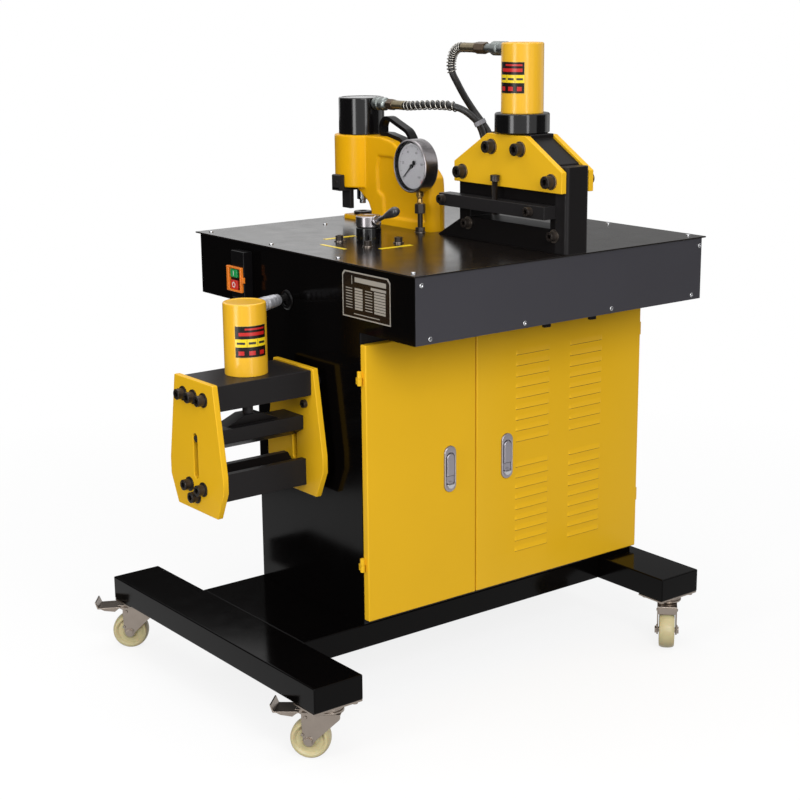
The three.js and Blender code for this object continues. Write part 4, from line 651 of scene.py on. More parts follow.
def knuckles(x, drop=0.0):
    """A barrel at each hinge, hanging so far under its top."""
    return [turned(tube(2.6, 4.6, 0, KNUCKLE), 32, 0.4, at=(x, HINGE_Y, top - drop - KNUCKLE)) for top in HINGE_TOPS]


def leaves(x, y, drop=0.0):
    """The sheet leaf that carries each barrel."""
    return [slab(sorted(x), y, (top - drop - KNUCKLE, top - drop), 0.4) for top in HINGE_TOPS]


def door_pan(x):
    return box_of(x, (DOOR_FACE, DOOR_BACK), DOOR_Z, 2, "y", 2.4)


DOOR_LEAF_Y, FIXED_LEAF_Y = (-210.9, HINGE_Y), (-210.5, -193.7)
piece("left_door_pan", [door_pan((-371, -103.5)), *knuckles(LEFT_PIN), *leaves((LEFT_PIN, -370), DOOR_LEAF_Y)], YELLOW,
      ["left_door"], "left_door")
lower = KNUCKLE + HINGE_GAP
for side, pin, leaf in (("left", LEFT_PIN, (-373, -375)), ("right", RIGHT_PIN, (354, 356))):
    piece(side + "_fixed_hinges", knuckles(pin, lower) + leaves(leaf, FIXED_LEAF_Y, lower), YELLOW)
pins = [turned(rod(2.2, 0, 24), 24, 0.4, at=(x, HINGE_Y, top - 25)) for x in (LEFT_PIN, RIGHT_PIN)
        for top in HINGE_TOPS]
piece("hinge_pins", pins, ZINC)

# Right door: the face is one sheet, cut along each louvre's lip and pressed outwards above the cut
LIPS = [first - i * 22.5 for first in (-219.5, -453) for i in range(9)]
COLUMNS, LOUVRE = (2, 149), 90
RISE = {0: 2.3, 2: 2.0, 5: 1.1, 8: 0.4, 10: 0.0}  # height above the lip: how far the sheet stands out
right_pan = door_pan((-101, 353))
sheet_face = max((f for f in right_pan.faces if f.normal.y < -0.99), key=lambda f: f.calc_area())
inner_face = max((f for f in right_pan.faces if f.normal.y > 0.99), key=lambda f: f.calc_area())
x_edge, z_edge = ([pick(v.co[axis] for v in sheet_face.verts) for pick in (min, max)] for axis in (0, 2))
bmesh.ops.delete(right_pan, geom=[sheet_face, inner_face], context="FACES")

pressed = bmesh.new()
bmesh.ops.create_grid(pressed, x_segments=1, y_segments=1, size=0.5, matrix=Matrix.Translation(
    ((x_edge[0] + x_edge[1]) / 2, DOOR_FACE, (z_edge[0] + z_edge[1]) / 2)) @ Matrix.Rotation(math.pi / 2, 4, "X")
    @ Matrix.Diagonal((x_edge[1] - x_edge[0], z_edge[1] - z_edge[0], 1, 1)))
for column in COLUMNS:
    for step in (-1.5, 0, 1.5, 4, 86, 88.5, 90, 91.5):
        sliced(pressed, RIGHT, column + step)
for lip in LIPS:
    for step in (-2, 0, 2, 5, 8, 10, 11.5):
        sliced(pressed, UP, lip + step)


def on_lip(edge):
    middle = (edge.verts[0].co.x + edge.verts[1].co.x) / 2
    return (all(any(abs(v.co.z - lip) < 0.05 for lip in LIPS) for v in edge.verts)
            and any(column - 0.1 < middle < column + LOUVRE + 0.1 for column in COLUMNS))


bmesh.ops.split_edges(pressed, edges=[e for e in pressed.edges if on_lip(e)])
for face in pressed.faces:
    c = face.calc_center_median()
    column = next((x for x in COLUMNS if x < c.x < x + LOUVRE), None)
    lip = next((z for z in LIPS if z < c.z < z + 10), None)
    if column is None or lip is None:
        continue
    for v in face.verts:
        step = min(RISE, key=lambda s: abs(lip + s - v.co.z))
        side = min(v.co.x - column, column + LOUVRE - v.co.x)
        v.co.y = DOOR_FACE - RISE[step] * (0 if side < 0.1 else 0.65 if side < 2 else 1)
faced(pressed)
if sum(f.normal.y for f in pressed.faces) > 0:
    bmesh.ops.reverse_faces(pressed, faces=pressed.faces[:])
bmesh.ops.solidify(pressed, geom=pressed.faces[:], thickness=1.6)
piece("right_door_pan", [right_pan, pressed, *knuckles(RIGHT_PIN), *leaves((RIGHT_PIN, 352), DOOR_LEAF_Y)], YELLOW,
      ["right_door"], "right_door", smooth=38)
# Painted shadow: a thin dark strip, just proud of the face, under each lip
lip_shadow_strips = [slab((x + 1, x + LOUVRE - 1), (DOOR_FACE - 0.15, DOOR_FACE + 0.5), (lip - 1.5, lip - 0.2), 0)
          for x in COLUMNS for lip in LIPS]
piece("louvre_lip_painted_shadows", lip_shadow_strips, LIP_PAINTED_SHADOW, body="right_door")


def latch(side, x):
    """A swing-handle latch: stadium plate with a pocket, its paddle and the round lock."""
    middle = -424
    top, lock_z = middle + 32, middle - 32

    def round_topped(half_width, foot):
        return ([(x + half_width * math.cos(a), top - 9.4 + half_width * math.sin(a)) for a in HALF_ROUND]
                + [(x - half_width, foot), (x + half_width, foot)])

    def out(far, near):
        return DOOR_FACE - far, DOOR_FACE - near

    rim = profiled("y", stadium(29, 94, (x, middle)), *out(4.2, 0), [round_topped(10.4, lock_z + 2)], 0)
    eased(rim, 2, 4, angle=50, where=lambda e: max(v.co.y for v in e.verts) < DOOR_FACE - 1)
    floor_of = slab((x - 12, x + 12), out(0.4, 0.02), (lock_z + 1, top + 1.4), 0)
    recess = slab((x - 9.4, x + 9.4), out(2.6, 0.3), (lock_z + 3.2, top - 46.8), 0.5)
    lock = profiled("y", [(x + 9.3 * math.cos(a), lock_z + 1.4 - 9.3 * math.sin(a)) for a in HALF_ROUND],
                    *out(7, 0.1), ease=1.4, segments=4)
    barrel = turned(rod(7, 0, 17.4), 32, 0.6, at=(x, DOOR_FACE - 4, lock_z), towards=BACK)
    cam = slab((x - 6, x + 6), out(-11, -13), (lock_z - 7, lock_z + 23), 0.6)
    piece(side + "_latch", [rim, floor_of, recess, barrel, cam], DIE_CAST, [side + "_latch_plate"], side + "_door")
    piece(side + "_lock_face", lock, POLISHED, body=side + "_door")
    paddle = profiled("y", round_topped(9.2, top - 46), *out(5.6, 0.45), ease=0)
    eased(paddle, 2.4, 5, angle=50, where=lambda e: max(v.co.y for v in e.verts) < DOOR_FACE - 5)
    piece(side + "_paddle", paddle, DIE_CAST, [side + "_latch_paddle"], side + "_paddle")


latch("left", -170.5)
latch("right", -22.5)


# ---------------------------------------------------------------- casters
HUB = (33, 0, 37.5)
SIDES = (BACK, FRONT)


def caster(name, x, y, trail_angle, braked):
    """One caster, made with its swivel axis on Z, its trail along +X and the floor at 0, then turned into place."""
    place = Matrix.Translation((x, y, FLOOR)) @ Matrix.Rotation(math.radians(trail_angle), 4, "Z")
    under = FLOOR + 105.6
    plate = slab((x - 53.5, x + 53.5), (y - 33, y + 33), (under, under + 4), 1)
    heads, _ = screws([(x + i * 42, y + j * 24, under) for i in (-1, 1) for j in (-1, 1)], DOWN, 6, 4)
    piece("caster_plate_" + name, [plate, *heads], ZINC)

    race = turned([(0, 105.3), (27, 105.3), (29, 103), (29, 101), (26.5, 100), (26.5, 98.6), (29, 97.6), (29, 94.5),
                   (27, 93), (0, 93)], 56, 0.5)
    leg = [(-26, 93), (-26, 84), (22, 37.5), (25, 29.5), (33, 26.5), (41, 29.5), (44, 37.5), (46, 78), (46, 93)]
    legs = [profiled("y", leg, a, a + 2.5, ease=0.6, corner=3) for a in (18, -20.5)]
    crown = joined(slab((-26, 46), (-20.5, 20.5), (89.6, 92.9), 1.4, 3),
                   slab((43, 45.8), (-18.2, 18.2), (75.6, 90), 0.8, 2))
    axle = turned(rod(5.8, -20.4, 20.4), 24, at=HUB, towards=BACK)
    nuts = [stood(hexed(8.2, 4.6, 0.7, 20.5), HUB, side) for side in SIDES]
    collars = [turned([(0, 20.3), (10.5, 20.3), (9.6, 21.4), (0, 21.4)], 32, 0.2, HUB, side) for side in SIDES]
    rivets = [turned([(0, 20.4), (3.6, 20.4), (2.6, 22.4), (0, 22.6)], 20, 0.3, (u, 0, w), side)
              for side in SIDES for u, w in ((38, 84), (44, 50))]
    piece("caster_yoke_" + name, moved(joined(race, *legs, crown, axle, *nuts, *collars, *rivets), place), ZINC,
          ["caster_fork_" + name], "swivel_" + name)

    half = [(9.5, 15), (12.5, 16), (14.5, 13), (17, 11.5), (25, 11.5), (27, 14), (30, 16), (33.5, 15.6), (35.8, 13),
            (37, 8), (37.5, 3)]
    tyre = turned([(r, -h) for r, h in half] + half[::-1] + [(9.5, -15)], 72, at=HUB, towards=BACK)
    bearing = turned(tube(6.4, 9.6, -16.4, 16.4), 32, 0.4, HUB, BACK)
    piece("caster_tyre_" + name, moved(tyre, place), NYLON, ["caster_wheel_" + name], "wheel_" + name)
    piece("caster_bearing_" + name, moved(bearing, place), POLISHED, body="wheel_" + name)
    if braked:
        neck = profiled("y", [(33, 80), (32, 97.5), (58, 95.5), (60, 92.5), (46, 84), (43, 80)], -13, 13, ease=1.2)
        tread = profiled("y", [(51, 95), (96, 92), (101.5, 105), (104, 105), (98.5, 89.5), (51, 91.5)], -22, 22,
                         ease=1.1, segments=3)
        flanges = [profiled("y", [(50, 94), (94, 90.5), (84, 86), (62, 84)], a, a + 2.2, ease=0.5)
                   for a in (-21, 18.8)]
        piece("caster_pedal_" + name, moved(joined(neck, tread, *flanges), place), ZINC, ["brake_pedal_" + name],
              "pedal_" + name)


caster("front_left", -568.5, -360, 133, True)
caster("rear_left", -568.5, 314, 142, True)
caster("front_right", 310.5, -360, -136, False)
caster("rear_right", 310.5, 314, -118, False)


# ---------------------------------------------------------------- cylinders and their labels
CYLINDER_RADIUS = 41.2


def yellow_cylinder(at, bottom, top):
    """A cylinder with rounded shoulders and a shallow cap set into its top."""
    r = CYLINDER_RADIUS
    return turned([(0, bottom), (r - 0.6, bottom), (r, bottom + 0.6), (r, top - 3), (r - 0.9, top - 0.9),
                   (r - 3, top), (r - 7, top), (r - 7.6, top - 0.8), (0, top - 0.8)], 96, 0.3, at)


def cylinder_label(name, at, begin, end, top, bottom):
    """A generic label: dark field, yellow field with cells, dark field, gold edge, blank blocks for words."""
    high, low = top - (top - bottom) * 0.41, top - (top - bottom) * 0.66
    inset, field, mark = 1.2, CYLINDER_RADIUS + 0.3, CYLINDER_RADIUS + 0.6
    for part, radius, a, b, upper, under, surface in (
            ("_edge_0", CYLINDER_RADIUS, begin, end, top, bottom, GOLD),
            ("_field_0", field, begin + inset, end - inset, top - 0.9, high, VINYL_BLACK),
            ("_bar_0", field, begin + inset, end - inset, high - 0.3, low, VINYL_YELLOW),
            ("_foot_0", field, begin + inset, end - inset, low - 0.3, bottom + 0.9, VINYL_BLACK)):
        piece(name + part, swept(tube(radius, radius + 0.35, under, upper), 28, (a, b), at), surface)

    def marks(z0, z1, *shares, wide=None):
        """Blocks between shares of the label's width. A line has only its start and a width in degrees."""
        turn = end - begin
        return [swept(tube(mark, mark + 0.3, z0, z1), 10, (begin + turn * a, begin + (
            turn * a + wide if wide else turn * b)), at) for a, b in shares]

    words = marks(top - 8, top - 4.6, (0.3, 0.92)) + marks(top - 19, top - 12.5, (0.12, 0.92))
    cells = marks(bottom + 5, bottom + 13, (0.1, 0.27), (0.41, 0.6), (0.74, 0.9))
    piece(name + "_red_marks", words + cells, VINYL_RED)
    lines = marks(low + 1, high - 1, (0.35, 0), (0.67, 0), wide=0.7)
    figures = marks(low + 5, high - 6, (0.06, 0.3), (0.4, 0.62), (0.72, 0.94))
    piece(name + "_dark_marks", lines + figures, INK)


# ---------------------------------------------------------------- cutter
CUTTER_AT = (TOOL_X, CUTTER_Y, 0)
CUT_X = (-12, 46)
body_side = [(-345, 0), (11, 0), (-60, 39), (-60, 152), (-156, 210), (-156, 219), (-274, 219), (-274, 210),
             (-345, 168)]
cutter = profiled("x", body_side, *CUT_X, holes=[rect((-329, -94), (46, 80))], ease=1.2, segments=3)
post = profiled("z", [(-12, -343), (-12, -375), (46, -375), (46, -343)], 0, 165, ease=0)
eased(post, 8, 6, where=lambda e: spans(e, 2, 50) and e.verts[0].co.y < -370)
eased(post, 1.4, 3, angle=50)
neck = turned(rod(46, 150, 219), 72, 1, CUTTER_AT)
sliced(neck, LEFT, 11.5, drop=True)
sliced(neck, RIGHT, 45.5, drop=True)
bmesh.ops.holes_fill(neck, edges=neck.edges[:], sides=0)
piece("cutter_frame", [cutter, post, neck], SATIN_BLACK, ["cutter_body"])

plate_side = [(-373, 116), (-57, 116), (-57, 156), (-158.5, 217), (-271.5, 217), (-373, 156)]
for side, x in (("left", (-24, -12)), ("right", (46, 58))):
    piece("cutter_cheek_" + side, profiled("x", plate_side, *x, ease=1.3, segments=3), YELLOW,
          ["cutter_plate_" + side])
spots = [(CUTTER_Y + way * y, z) for way in (-1, 1) for y, z in ((42, 192), (130, 137))]
for side, x, towards in (("left", -24, LEFT), ("right", 58, RIGHT)):
    bolted("cutter_bolts_" + side, "cutter_washers_" + side, [(x, y, z) for y, z in spots], towards, 12, 16, 15, 3,
           rounding=1.2)
bolted("cutter_foot_bolts", "cutter_foot_washers", [(-12, CUTTER_Y + way * 127, 33) for way in (-1, 1)], LEFT,
       9, 12, 13, 2.5)

collar = [(16, 219), (51, 219), (53.5, 221), (53.5, 255), (52, 257), (16, 257), (16, 219)]
piece("cutter_ring_nut", turned(collar, 96, 0.5, CUTTER_AT), BLUED, ["cutter_collar"])
port = turned(rod(12, 30, 44.2), 40, 0.8, (TOOL_X, CUTTER_Y, 377), BACK)
piece("cutter_ram_cylinder", [yellow_cylinder(CUTTER_AT, 257, 390), port], CYLINDER_YELLOW, ["cutter_cylinder"])
cylinder_label("cutter_label", CUTTER_AT, 155.3, 234.4, 354.9, 295.2)

edge = profiled("x", rect((-312, -108), (80, 150)), 14, 20, ease=0.4)
piece("shear_knife", [edge, turned(rod(15, 150, 256.4), 48, 0.6, CUTTER_AT)], GROUND, ["cutter_blade"], "shear_blade")

bar = profiled("y", rect((-42, -12), (66, 91)), -345, -30, ease=1.1, segments=3)
piece("work_hold_bar", [bar, stood(hexed(9, 12, 1), (-12, -44, 80), RIGHT)], SATIN_BLACK, ["hold_down_bar"])
heads, _ = screws([(-42, -44, 80), (-42, -305, 79)], LEFT, 9, 12)
piece("work_hold_bolts", heads, OXIDE)
thread = [(0, 62)]
for i in range(32):
    thread += [(5.2, 62.5 + 2 * i), (6, 63.5 + 2 * i)]
thread += [(5.2, 126.8), (0, 126.8)]
head, _ = socket_screw(9, 12, rounding=1.1)
piece("work_hold_screw", [turned(thread, 32, at=(-34, -194, 0)), stood(head, (-34, -194, 127))], OXIDE,
      ["hold_down_screw"], "hold_down_screw")


# ---------------------------------------------------------------- punch
PUNCH_AT = (TOOL_X, PUNCH_Y, 0)


def cast(parts, voxel, smoothing):
    """Melts overlapping shapes into one sand-cast skin with soft inner corners."""
    rough = meshed("rough", joined(*parts))
    holder = linked("rough", rough)
    skin = holder.modifiers.new("skin", "REMESH")
    skin.mode, skin.voxel_size = "VOXEL", voxel
    bpy.context.view_layer.update()
    bm = bmesh.new()
    bm.from_object(holder, bpy.context.evaluated_depsgraph_get())
    bpy.data.objects.remove(holder)
    bpy.data.meshes.remove(rough)
    for _ in range(smoothing):
        bmesh.ops.smooth_vert(bm, verts=bm.verts[:], factor=0.5, use_axis_x=True, use_axis_y=True, use_axis_z=True)
    return bm


arm_side = [(35, -60), (345, -60), (345, 9), (242, 9), (242, 22), (253, 43), (301, 75), (311.5, 75), (311.5, 186),
            (206, 186), (165, 178), (51, 108), (35, 61)]
pocket = [(165, 145), (216, 145), (222, 120), (219, 70), (201, 60), (197, 18), (60, 18), (70, 92)]
web_side = [(160, 150), (222, 150), (228, 60), (205, 12), (52, 12), (62, 96)]
casting = cast([profiled("x", arm_side, *CUT_X, holes=[pocket], ease=0), profiled("x", web_side, -6, 40, ease=0),
                turned(rod(60, 73, 186), 72, at=PUNCH_AT)], 2.1, 5)
# The arm's front end narrows to a rounded nose
NOSE_FROM, NOSE_LONG = 91, 56
for v in casting.verts:
    if v.co.y < NOSE_FROM:
        full = min((NOSE_FROM - v.co.y) / NOSE_LONG, 0.985)
        v.co.x = TOOL_X + (v.co.x - TOOL_X) * math.sqrt(1 - full ** 2)
piece("punch_casting", casting, CASTING, ["punch_frame"], smooth=60)

black_cylinder = turned([(0, 186), (49, 186), (50, 187), (50, 262), (49, 264.4), (47, 265), (44, 265), (43.4, 264.2),
                         (0, 264.2)], 96, 0.3, PUNCH_AT)
port = turned(rod(12, 40, 53), 40, 0.8, (TOOL_X, PUNCH_Y, 253), FRONT)
piece("punch_ram_cylinder", [black_cylinder, port], BLUED, ["punch_cylinder"])
ram = [(0, 33), (6.4, 33), (7, 33.6), (7, 42), (11.5, 42), (12.5, 43), (12.5, 93.5), (20, 93.5), (20, 185.5),
       (0, 185.5)]
piece("punch_ram_rod", turned(ram, 48, 0.4, PUNCH_AT), GROUND, ["punch_ram"], "punch_ram")
die = [(8.5, 9), (20, 9), (20, 15), (19, 16), (9.3, 16), (8.5, 15.2), (8.5, 9)]
piece("punch_die_ring", turned(die, 64, 0.3, PUNCH_AT), OXIDE, ["punch_die"])

FORK_Y = (296, 327)
bridge = profiled("x", [(296, 66), (327, 66), (327, 73), (301, 73), (296, 68)], -55, 62)
legs = [slab(x, FORK_Y, (26, 67), 1.2, 3) for x in ((-28, -18), (52, 62))]
clamp = profiled("y", rect((-55, -43.3), (66, 100.5)), *FORK_Y, ease=0)
eased(clamp, 3, 3, where=lambda e: spans(e, 1, 20) and e.verts[0].co.x < -54)
eased(clamp, 0.8, 2, angle=50)
piece("punch_stripper_fork", [bridge, *legs, clamp], SATIN_BLACK, ["punch_stripper"], slot="black_oxide")
dimple, _ = socket_screw(5, 2.2, rounding=0.6, socket=0.6)
piece("stripper_clamp_screw", stood(dimple, (-53.2, PUNCH_Y, 84), LEFT), OXIDE)

# The handle's foot lies 0.3 mm over the casting's back, whose corners arm_side has
foot = [(122, 108 + (122 - 51) * 70 / 114), (165, 178), (206, 186), (235, 186)]
loop = [(y, z + 0.3) for y, z in foot] + [(235, 212), (222, 227), (206, 229.5), (138, 203.5), (122, 184)]
handle = bmesh.new()
handle.faces.new([handle.verts.new((7, y, z)) for y, z in loop])
rounded(handle, [v for v in handle.verts if not 150 < v.co.y < 210 or v.co.z > 200], 9, 8, "VERTICES")
opening = handle.faces[:]
bmesh.ops.inset_region(handle, faces=opening, thickness=8, use_even_offset=True, use_boundary=True)
bmesh.ops.delete(handle, geom=opening, context="FACES_ONLY")
thickened(handle, (20, 0, 0))
eased(handle, 3.2, 5, angle=60)
piece("punch_handle", handle, BLACK_ABS, ["carry_handle"], slot="black_satin", smooth=50)


# ---------------------------------------------------------------- bender
BENDER_AT = (BENDER_X, BENDER_Y, 0)
OUTER_X, INNER_X = (-628, -616), (-404.5, -392.5)
cheek = [(-94.5, -211), (-122, -380), (-122, -412), (-97.5, -466), (45.5, -466), (70, -412), (70, -380),
         (42.5, -211)]
for side, x in (("outer", OUTER_X), ("inner", INNER_X)):
    piece("bender_cheek_" + side, profiled("x", cheek, *x, [stadium(15, 89, (BENDER_Y, -358.5))], 1.3, 3), YELLOW,
          ["bender_plate_" + side])
spots = [(BENDER_Y + y, z) for y, z in ((-36.5, -243), (0, -243), (36.5, -243), (-25, -418), (25, -418), (0, -437))]
bolted("bender_bolts", "bender_washers", [(OUTER_X[0], y, z) for y, z in spots], LEFT, 10.5, 14, 14, 2.5,
       rounding=1.1, washer_finish=OXIDE)
extra, _ = socket_screw(8, 8, rounding=1)
piece("bender_inner_bolt", stood(extra, (INNER_X[0], -67, -284), LEFT), OXIDE)
piece("bender_spacers", [turned(rod(12, 0, 19.5), 36, 0.8, (INNER_X[1], y, z), RIGHT) for y, z in spots],
      SATIN_BLACK)
beam = profiled("x", rect((BENDER_Y - 63, BENDER_Y + 63), (-264, -214.5)), OUTER_X[1], INNER_X[0], ease=1.6,
                segments=3)
piece("bender_crosshead", beam, SATIN_BLACK, ["bender_beam"])
vee = [(-65, -395), (-50, -395), (-26, -415), (-2, -395), (13, -395), (13, -448), (-65, -448)]
piece("bender_vee_die", profiled("x", vee, OUTER_X[1], INNER_X[0], ease=1.2, segments=3), SATIN_BLACK,
      ["bender_die"])
piece("bender_ram_cylinder", yellow_cylinder(BENDER_AT, -214.5, -76.5), CYLINDER_YELLOW, ["bender_cylinder"])
cylinder_label("bender_label", BENDER_AT, -150.2, -59.2, -116.3, -177.3)
wedge = profiled("x", [(-60, -309), (-60, -336), (-26, -354), (8, -336), (8, -309)], -615.5, -405, ease=1.4,
                 segments=3)
roof = profiled("y", [(-570, -309.5), (-528, -292), (-492, -292), (-450, -309.5)], -44, -8, ease=1)
pin = turned([(0, -627), (6, -627), (6.7, -626), (6.7, -394.2), (6, -393.2), (0, -393.2)], 32,
             at=(0, BENDER_Y, -325), towards=RIGHT)
piece("bender_moving_bar", [wedge, roof, pin], SATIN_BLACK, ["bender_punch"], "bender_ram")
piece("bender_ram_rod", turned(rod(10.4, -310, -162.5), 40, at=BENDER_AT), SATIN_BLACK, body="bender_ram")


# ---------------------------------------------------------------- gauge
GAUGE_AT = (0, 53, 138)
DIAL_FACE = -44.6
ON_DIAL = {"at": GAUGE_AT, "towards": RIGHT}
TO_DIAL = Matrix(((0, 0, -1, 0), (-1, 0, 0, 0), (0, 1, 0, 0), (0, 0, 0, 1)))  # right and up as seen from the left
case = turned([(0, 35), (48, 35), (53.5, 33.5), (55, 31), (55, 4), (54.2, 1.4), (53, 0.4), (51.5, 0), (50.6, 0.8),
               (50.5, 9), (0, 9)], 120, 0.2, (-53, *GAUGE_AT[1:]), RIGHT)
piece("gauge_steel_case", case, GAUGE_STEEL, ["gauge_case"])
inner_ring = [(46.5, -44), (50.4, -44), (50.4, -50.5), (49, -51), (46.5, -45.5), (46.5, -44)]
piece("gauge_inner_ring", turned(inner_ring, 96, **ON_DIAL), BLACK_ABS)
piece("gauge_dial", turned(rod(47, DIAL_FACE, -44), 96, 0.15, **ON_DIAL), DIAL)


def dial_turn(value):
    """The angle of a reading from 0 to 100 on the dial, counter-clockwise from its right."""
    return math.radians(225 - 2.7 * value)


def tick(value, inner, outer, wide):
    bm = slab((-0.12, 0.02), (inner, outer), (-wide / 2, wide / 2), 0)
    return moved(bm, Matrix.Translation((DIAL_FACE, *GAUGE_AT[1:]))
                 @ Matrix.Rotation(math.pi - dial_turn(value), 4, "X"))


def numeral(value, size=7, reach=31):
    words = bpy.data.curves.new("numeral", "FONT")
    words.body, words.size, words.extrude = str(value), size, 0.06
    words.align_x, words.align_y = "CENTER", "CENTER"
    held = linked("numeral", words)
    bpy.context.view_layer.update()
    flat = bpy.data.meshes.new_from_object(held.evaluated_get(bpy.context.evaluated_depsgraph_get()))
    bpy.data.objects.remove(held)
    bm = bmesh.new()
    bm.from_mesh(flat)
    bpy.data.meshes.remove(flat)
    a = dial_turn(value)
    spot = (DIAL_FACE, GAUGE_AT[1] - reach * math.cos(a), GAUGE_AT[2] + reach * math.sin(a))
    return moved(bm, Matrix.Translation(spot) @ TO_DIAL)


ticks = [tick(v, 37.5, 42.5, 0.9) for v in range(0, 101, 10)] + [tick(v, 40, 42.5, 0.45) for v in range(0, 101, 2)]
piece("gauge_ticks", ticks, INK)
arc = swept(tube(42.4, 45, -44.8, DIAL_FACE), 40, (0, 70), towards=RIGHT)
piece("gauge_red_arc", moved(arc, Matrix.Translation(GAUGE_AT) @ Matrix.Rotation(math.radians(250), 4, "X")), RED_INK)
piece("gauge_numerals", [numeral(v) for v in range(0, 101, 20)], INK)
pointer = profiled("z", [(-13, -2.5), (-13, 2.5), (0, 1.8), (38, 0.6), (38, -0.6), (0, -1.8)], 0, 1.2, ease=0.25)
boss = turned([(0, -2), (4, -2), (4, 2.2), (3, 3), (0, 3)], 32, 0.3)
hand = joined(pointer, boss, turned(rod(4.6, 0, 1.2), 28, 0.2, (-11, 0, 0)))
moved(hand, Matrix.Translation((-46.6, *GAUGE_AT[1:])) @ TO_DIAL @ Matrix.Rotation(math.radians(222), 4, "Z"))
piece("gauge_pointer", hand, INK, ["gauge_needle"], "gauge_needle", "black_oxide")
piece("gauge_pane", turned(rod(50.2, -52.4, -51.4), 96, 0.2, **ON_DIAL), GLASS)

foot = (-25, 53, 0)
piece("gauge_foot_washer", turned([(0, 0), (12, 0), (12, 0.8), (11.6, 1), (0, 1)], 36, at=foot), ZINC)
dark = [hexed(10.4, 9, 1, 1), turned(rod(5.5, 9, 40), 32, 0.3), hexed(11.6, 20, 1.4, 39)]
piece("gauge_pipe", [stood(part, foot) for part in dark], OXIDE, ["gauge_stem"])
gold = [turned([(0, 58), (7.6, 58), (8.4, 60), (6, 62), (5.4, 70), (7, 73), (7, 75), (0, 75)], 36, 0.3),
        hexed(9.2, 8.6, 1, 74.5)]
piece("gauge_brass_neck", [stood(part, foot, turn=20) for part in gold], BRASS)


# ---------------------------------------------------------------- selector valve
VALVE_AT = (VALVE_X, VALVE_Y, 0)
barrel = turned([(0, -3), (25.5, -3), (25.5, 29.4), (24, 31), (0, 31)], 80, 0.4, VALVE_AT)
piece("valve_barrel", barrel, BLUED, ["valve_body"], slot="black_oxide")
piece("valve_block", slab((-240, -140), (-47.5, 67.5), (-73, -3), 2, 3), SATIN_BLACK, slot="black_oxide")
knob = turned([(0, 31.3), (23.5, 31.3), (25.5, 33), (25.5, 52), (23.5, 54), (15, 54), (14.4, 53.4), (0, 53.4)], 80,
              0.35, VALVE_AT)
rise = math.radians(21.6)
lever = {"at": (VALVE_X, 5, 37), "towards": (0, -math.cos(rise), math.sin(rise))}
stick = turned(rod(4, 16, 76), 32, 0.4, **lever)
boss = turned([(0, 12), (9.5, 12), (10.5, 14), (10.5, 25), (9, 27), (7.6, 27), (7.2, 25.6), (0, 25.6)], 40, 0.4,
              **lever)
piece("valve_hub", [knob, stick, boss], GAUGE_STEEL, ["valve_lever"], "valve_lever")
pear = turned([(4.3, 56), (5.5, 56), (6.3, 61), (8, 70), (9.6, 80), (10, 86), (9.3, 91), (7.4, 95), (4, 97.4),
               (0, 98), (0, 77), (4.3, 76.5), (4.3, 56)], 56, **lever)
piece("lever_knob", pear, GRIP, ["lever_grip"], "valve_lever")


# ---------------------------------------------------------------- switch and rating plate
BOX_X, COVER_X, CAP_X = -395, -402, -400
piece("switch_housing", slab((BOX_X, PANEL_X), (157, 204), (-114, -17.4), 2, 3), BLACK_ABS, ["switch_box"],
      slot="black_satin")
window = [(163, -95.7), (163, -52.6), (203.5, -52.6), (203.5, -95.7)]
cover = profiled("x", rect((158, 212), (-99.7, -48.6)), COVER_X, BOX_X, holes=[window], ease=1.3, segments=3)
tab = slab((COVER_X + 1, BOX_X), (151.5, 158.5), (-80, -68), 1.2, 3)
piece("switch_surround", [cover, tab], ORANGE, ["switch_cover"])
piece("switch_well", slab((BOX_X - 0.6, BOX_X), (162, 203.4), (-96, -52), 0.2), BLACK_ABS, slot="black_satin")
for button, z, surface in (("start", (-71, -54.4), GREEN), ("stop", (-95.6, -76.8), RED)):
    cap = slab((CAP_X, -393.8), (175.5, 200.3), z, 1.4, 3)
    piece(button + "_cap", cap, surface, [button + "_button"], button + "_button")
mark = turned(tube(4, 5.6, 0, 0.3), 36, at=(CAP_X, 188, -86.2), towards=LEFT)
piece("stop_mark", mark, WHITE, body="stop_button")
piece("start_mark", slab((CAP_X - 0.3, CAP_X), (187.2, 188.8), (-67.5, -58), 0.1), WHITE, body="start_button")

# Plate with blank generic fields
PLATE_X, PRINT_X = -374, -374.3


def clipped(low, high, foot, shoulder, top, clip=7):
    """Corners of a plate whose two upper corners are cut off."""
    return [(low, foot), (low, shoulder), (low + clip, top), (high - clip, top), (high, shoulder), (high, foot)]


outline = clipped(-303, -155, -101, -21, -14)
piece("rating_plate", profiled("x", outline, PLATE_X, PANEL_X, ease=0.3), VINYL_BLACK)
line = profiled("x", outline, PRINT_X, PLATE_X, [clipped(-300.6, -157.4, -98.6, -24, -16.6)], 0)
areas = [((-186, -184.5), (-38, -22)), ((-290, -194), (-33, -24)), ((-290, -244), (-42, -37))]
for i in range(8):
    z = -46 - i * 5.2
    areas += [((y0, y1), (z - tall / 2, z + tall / 2)) for y0, y1, tall in (
        (-186, -166, 1.6), (-218, -194, 4), (-248, -226, 1.6), (-288, -254, 4))]
areas.append(((-270, -190), (-93.6, -92)))
piece("rating_plate_fields", [line, *(slab((PRINT_X, PLATE_X), y, z, 0.1) for y, z in areas)], FOIL)


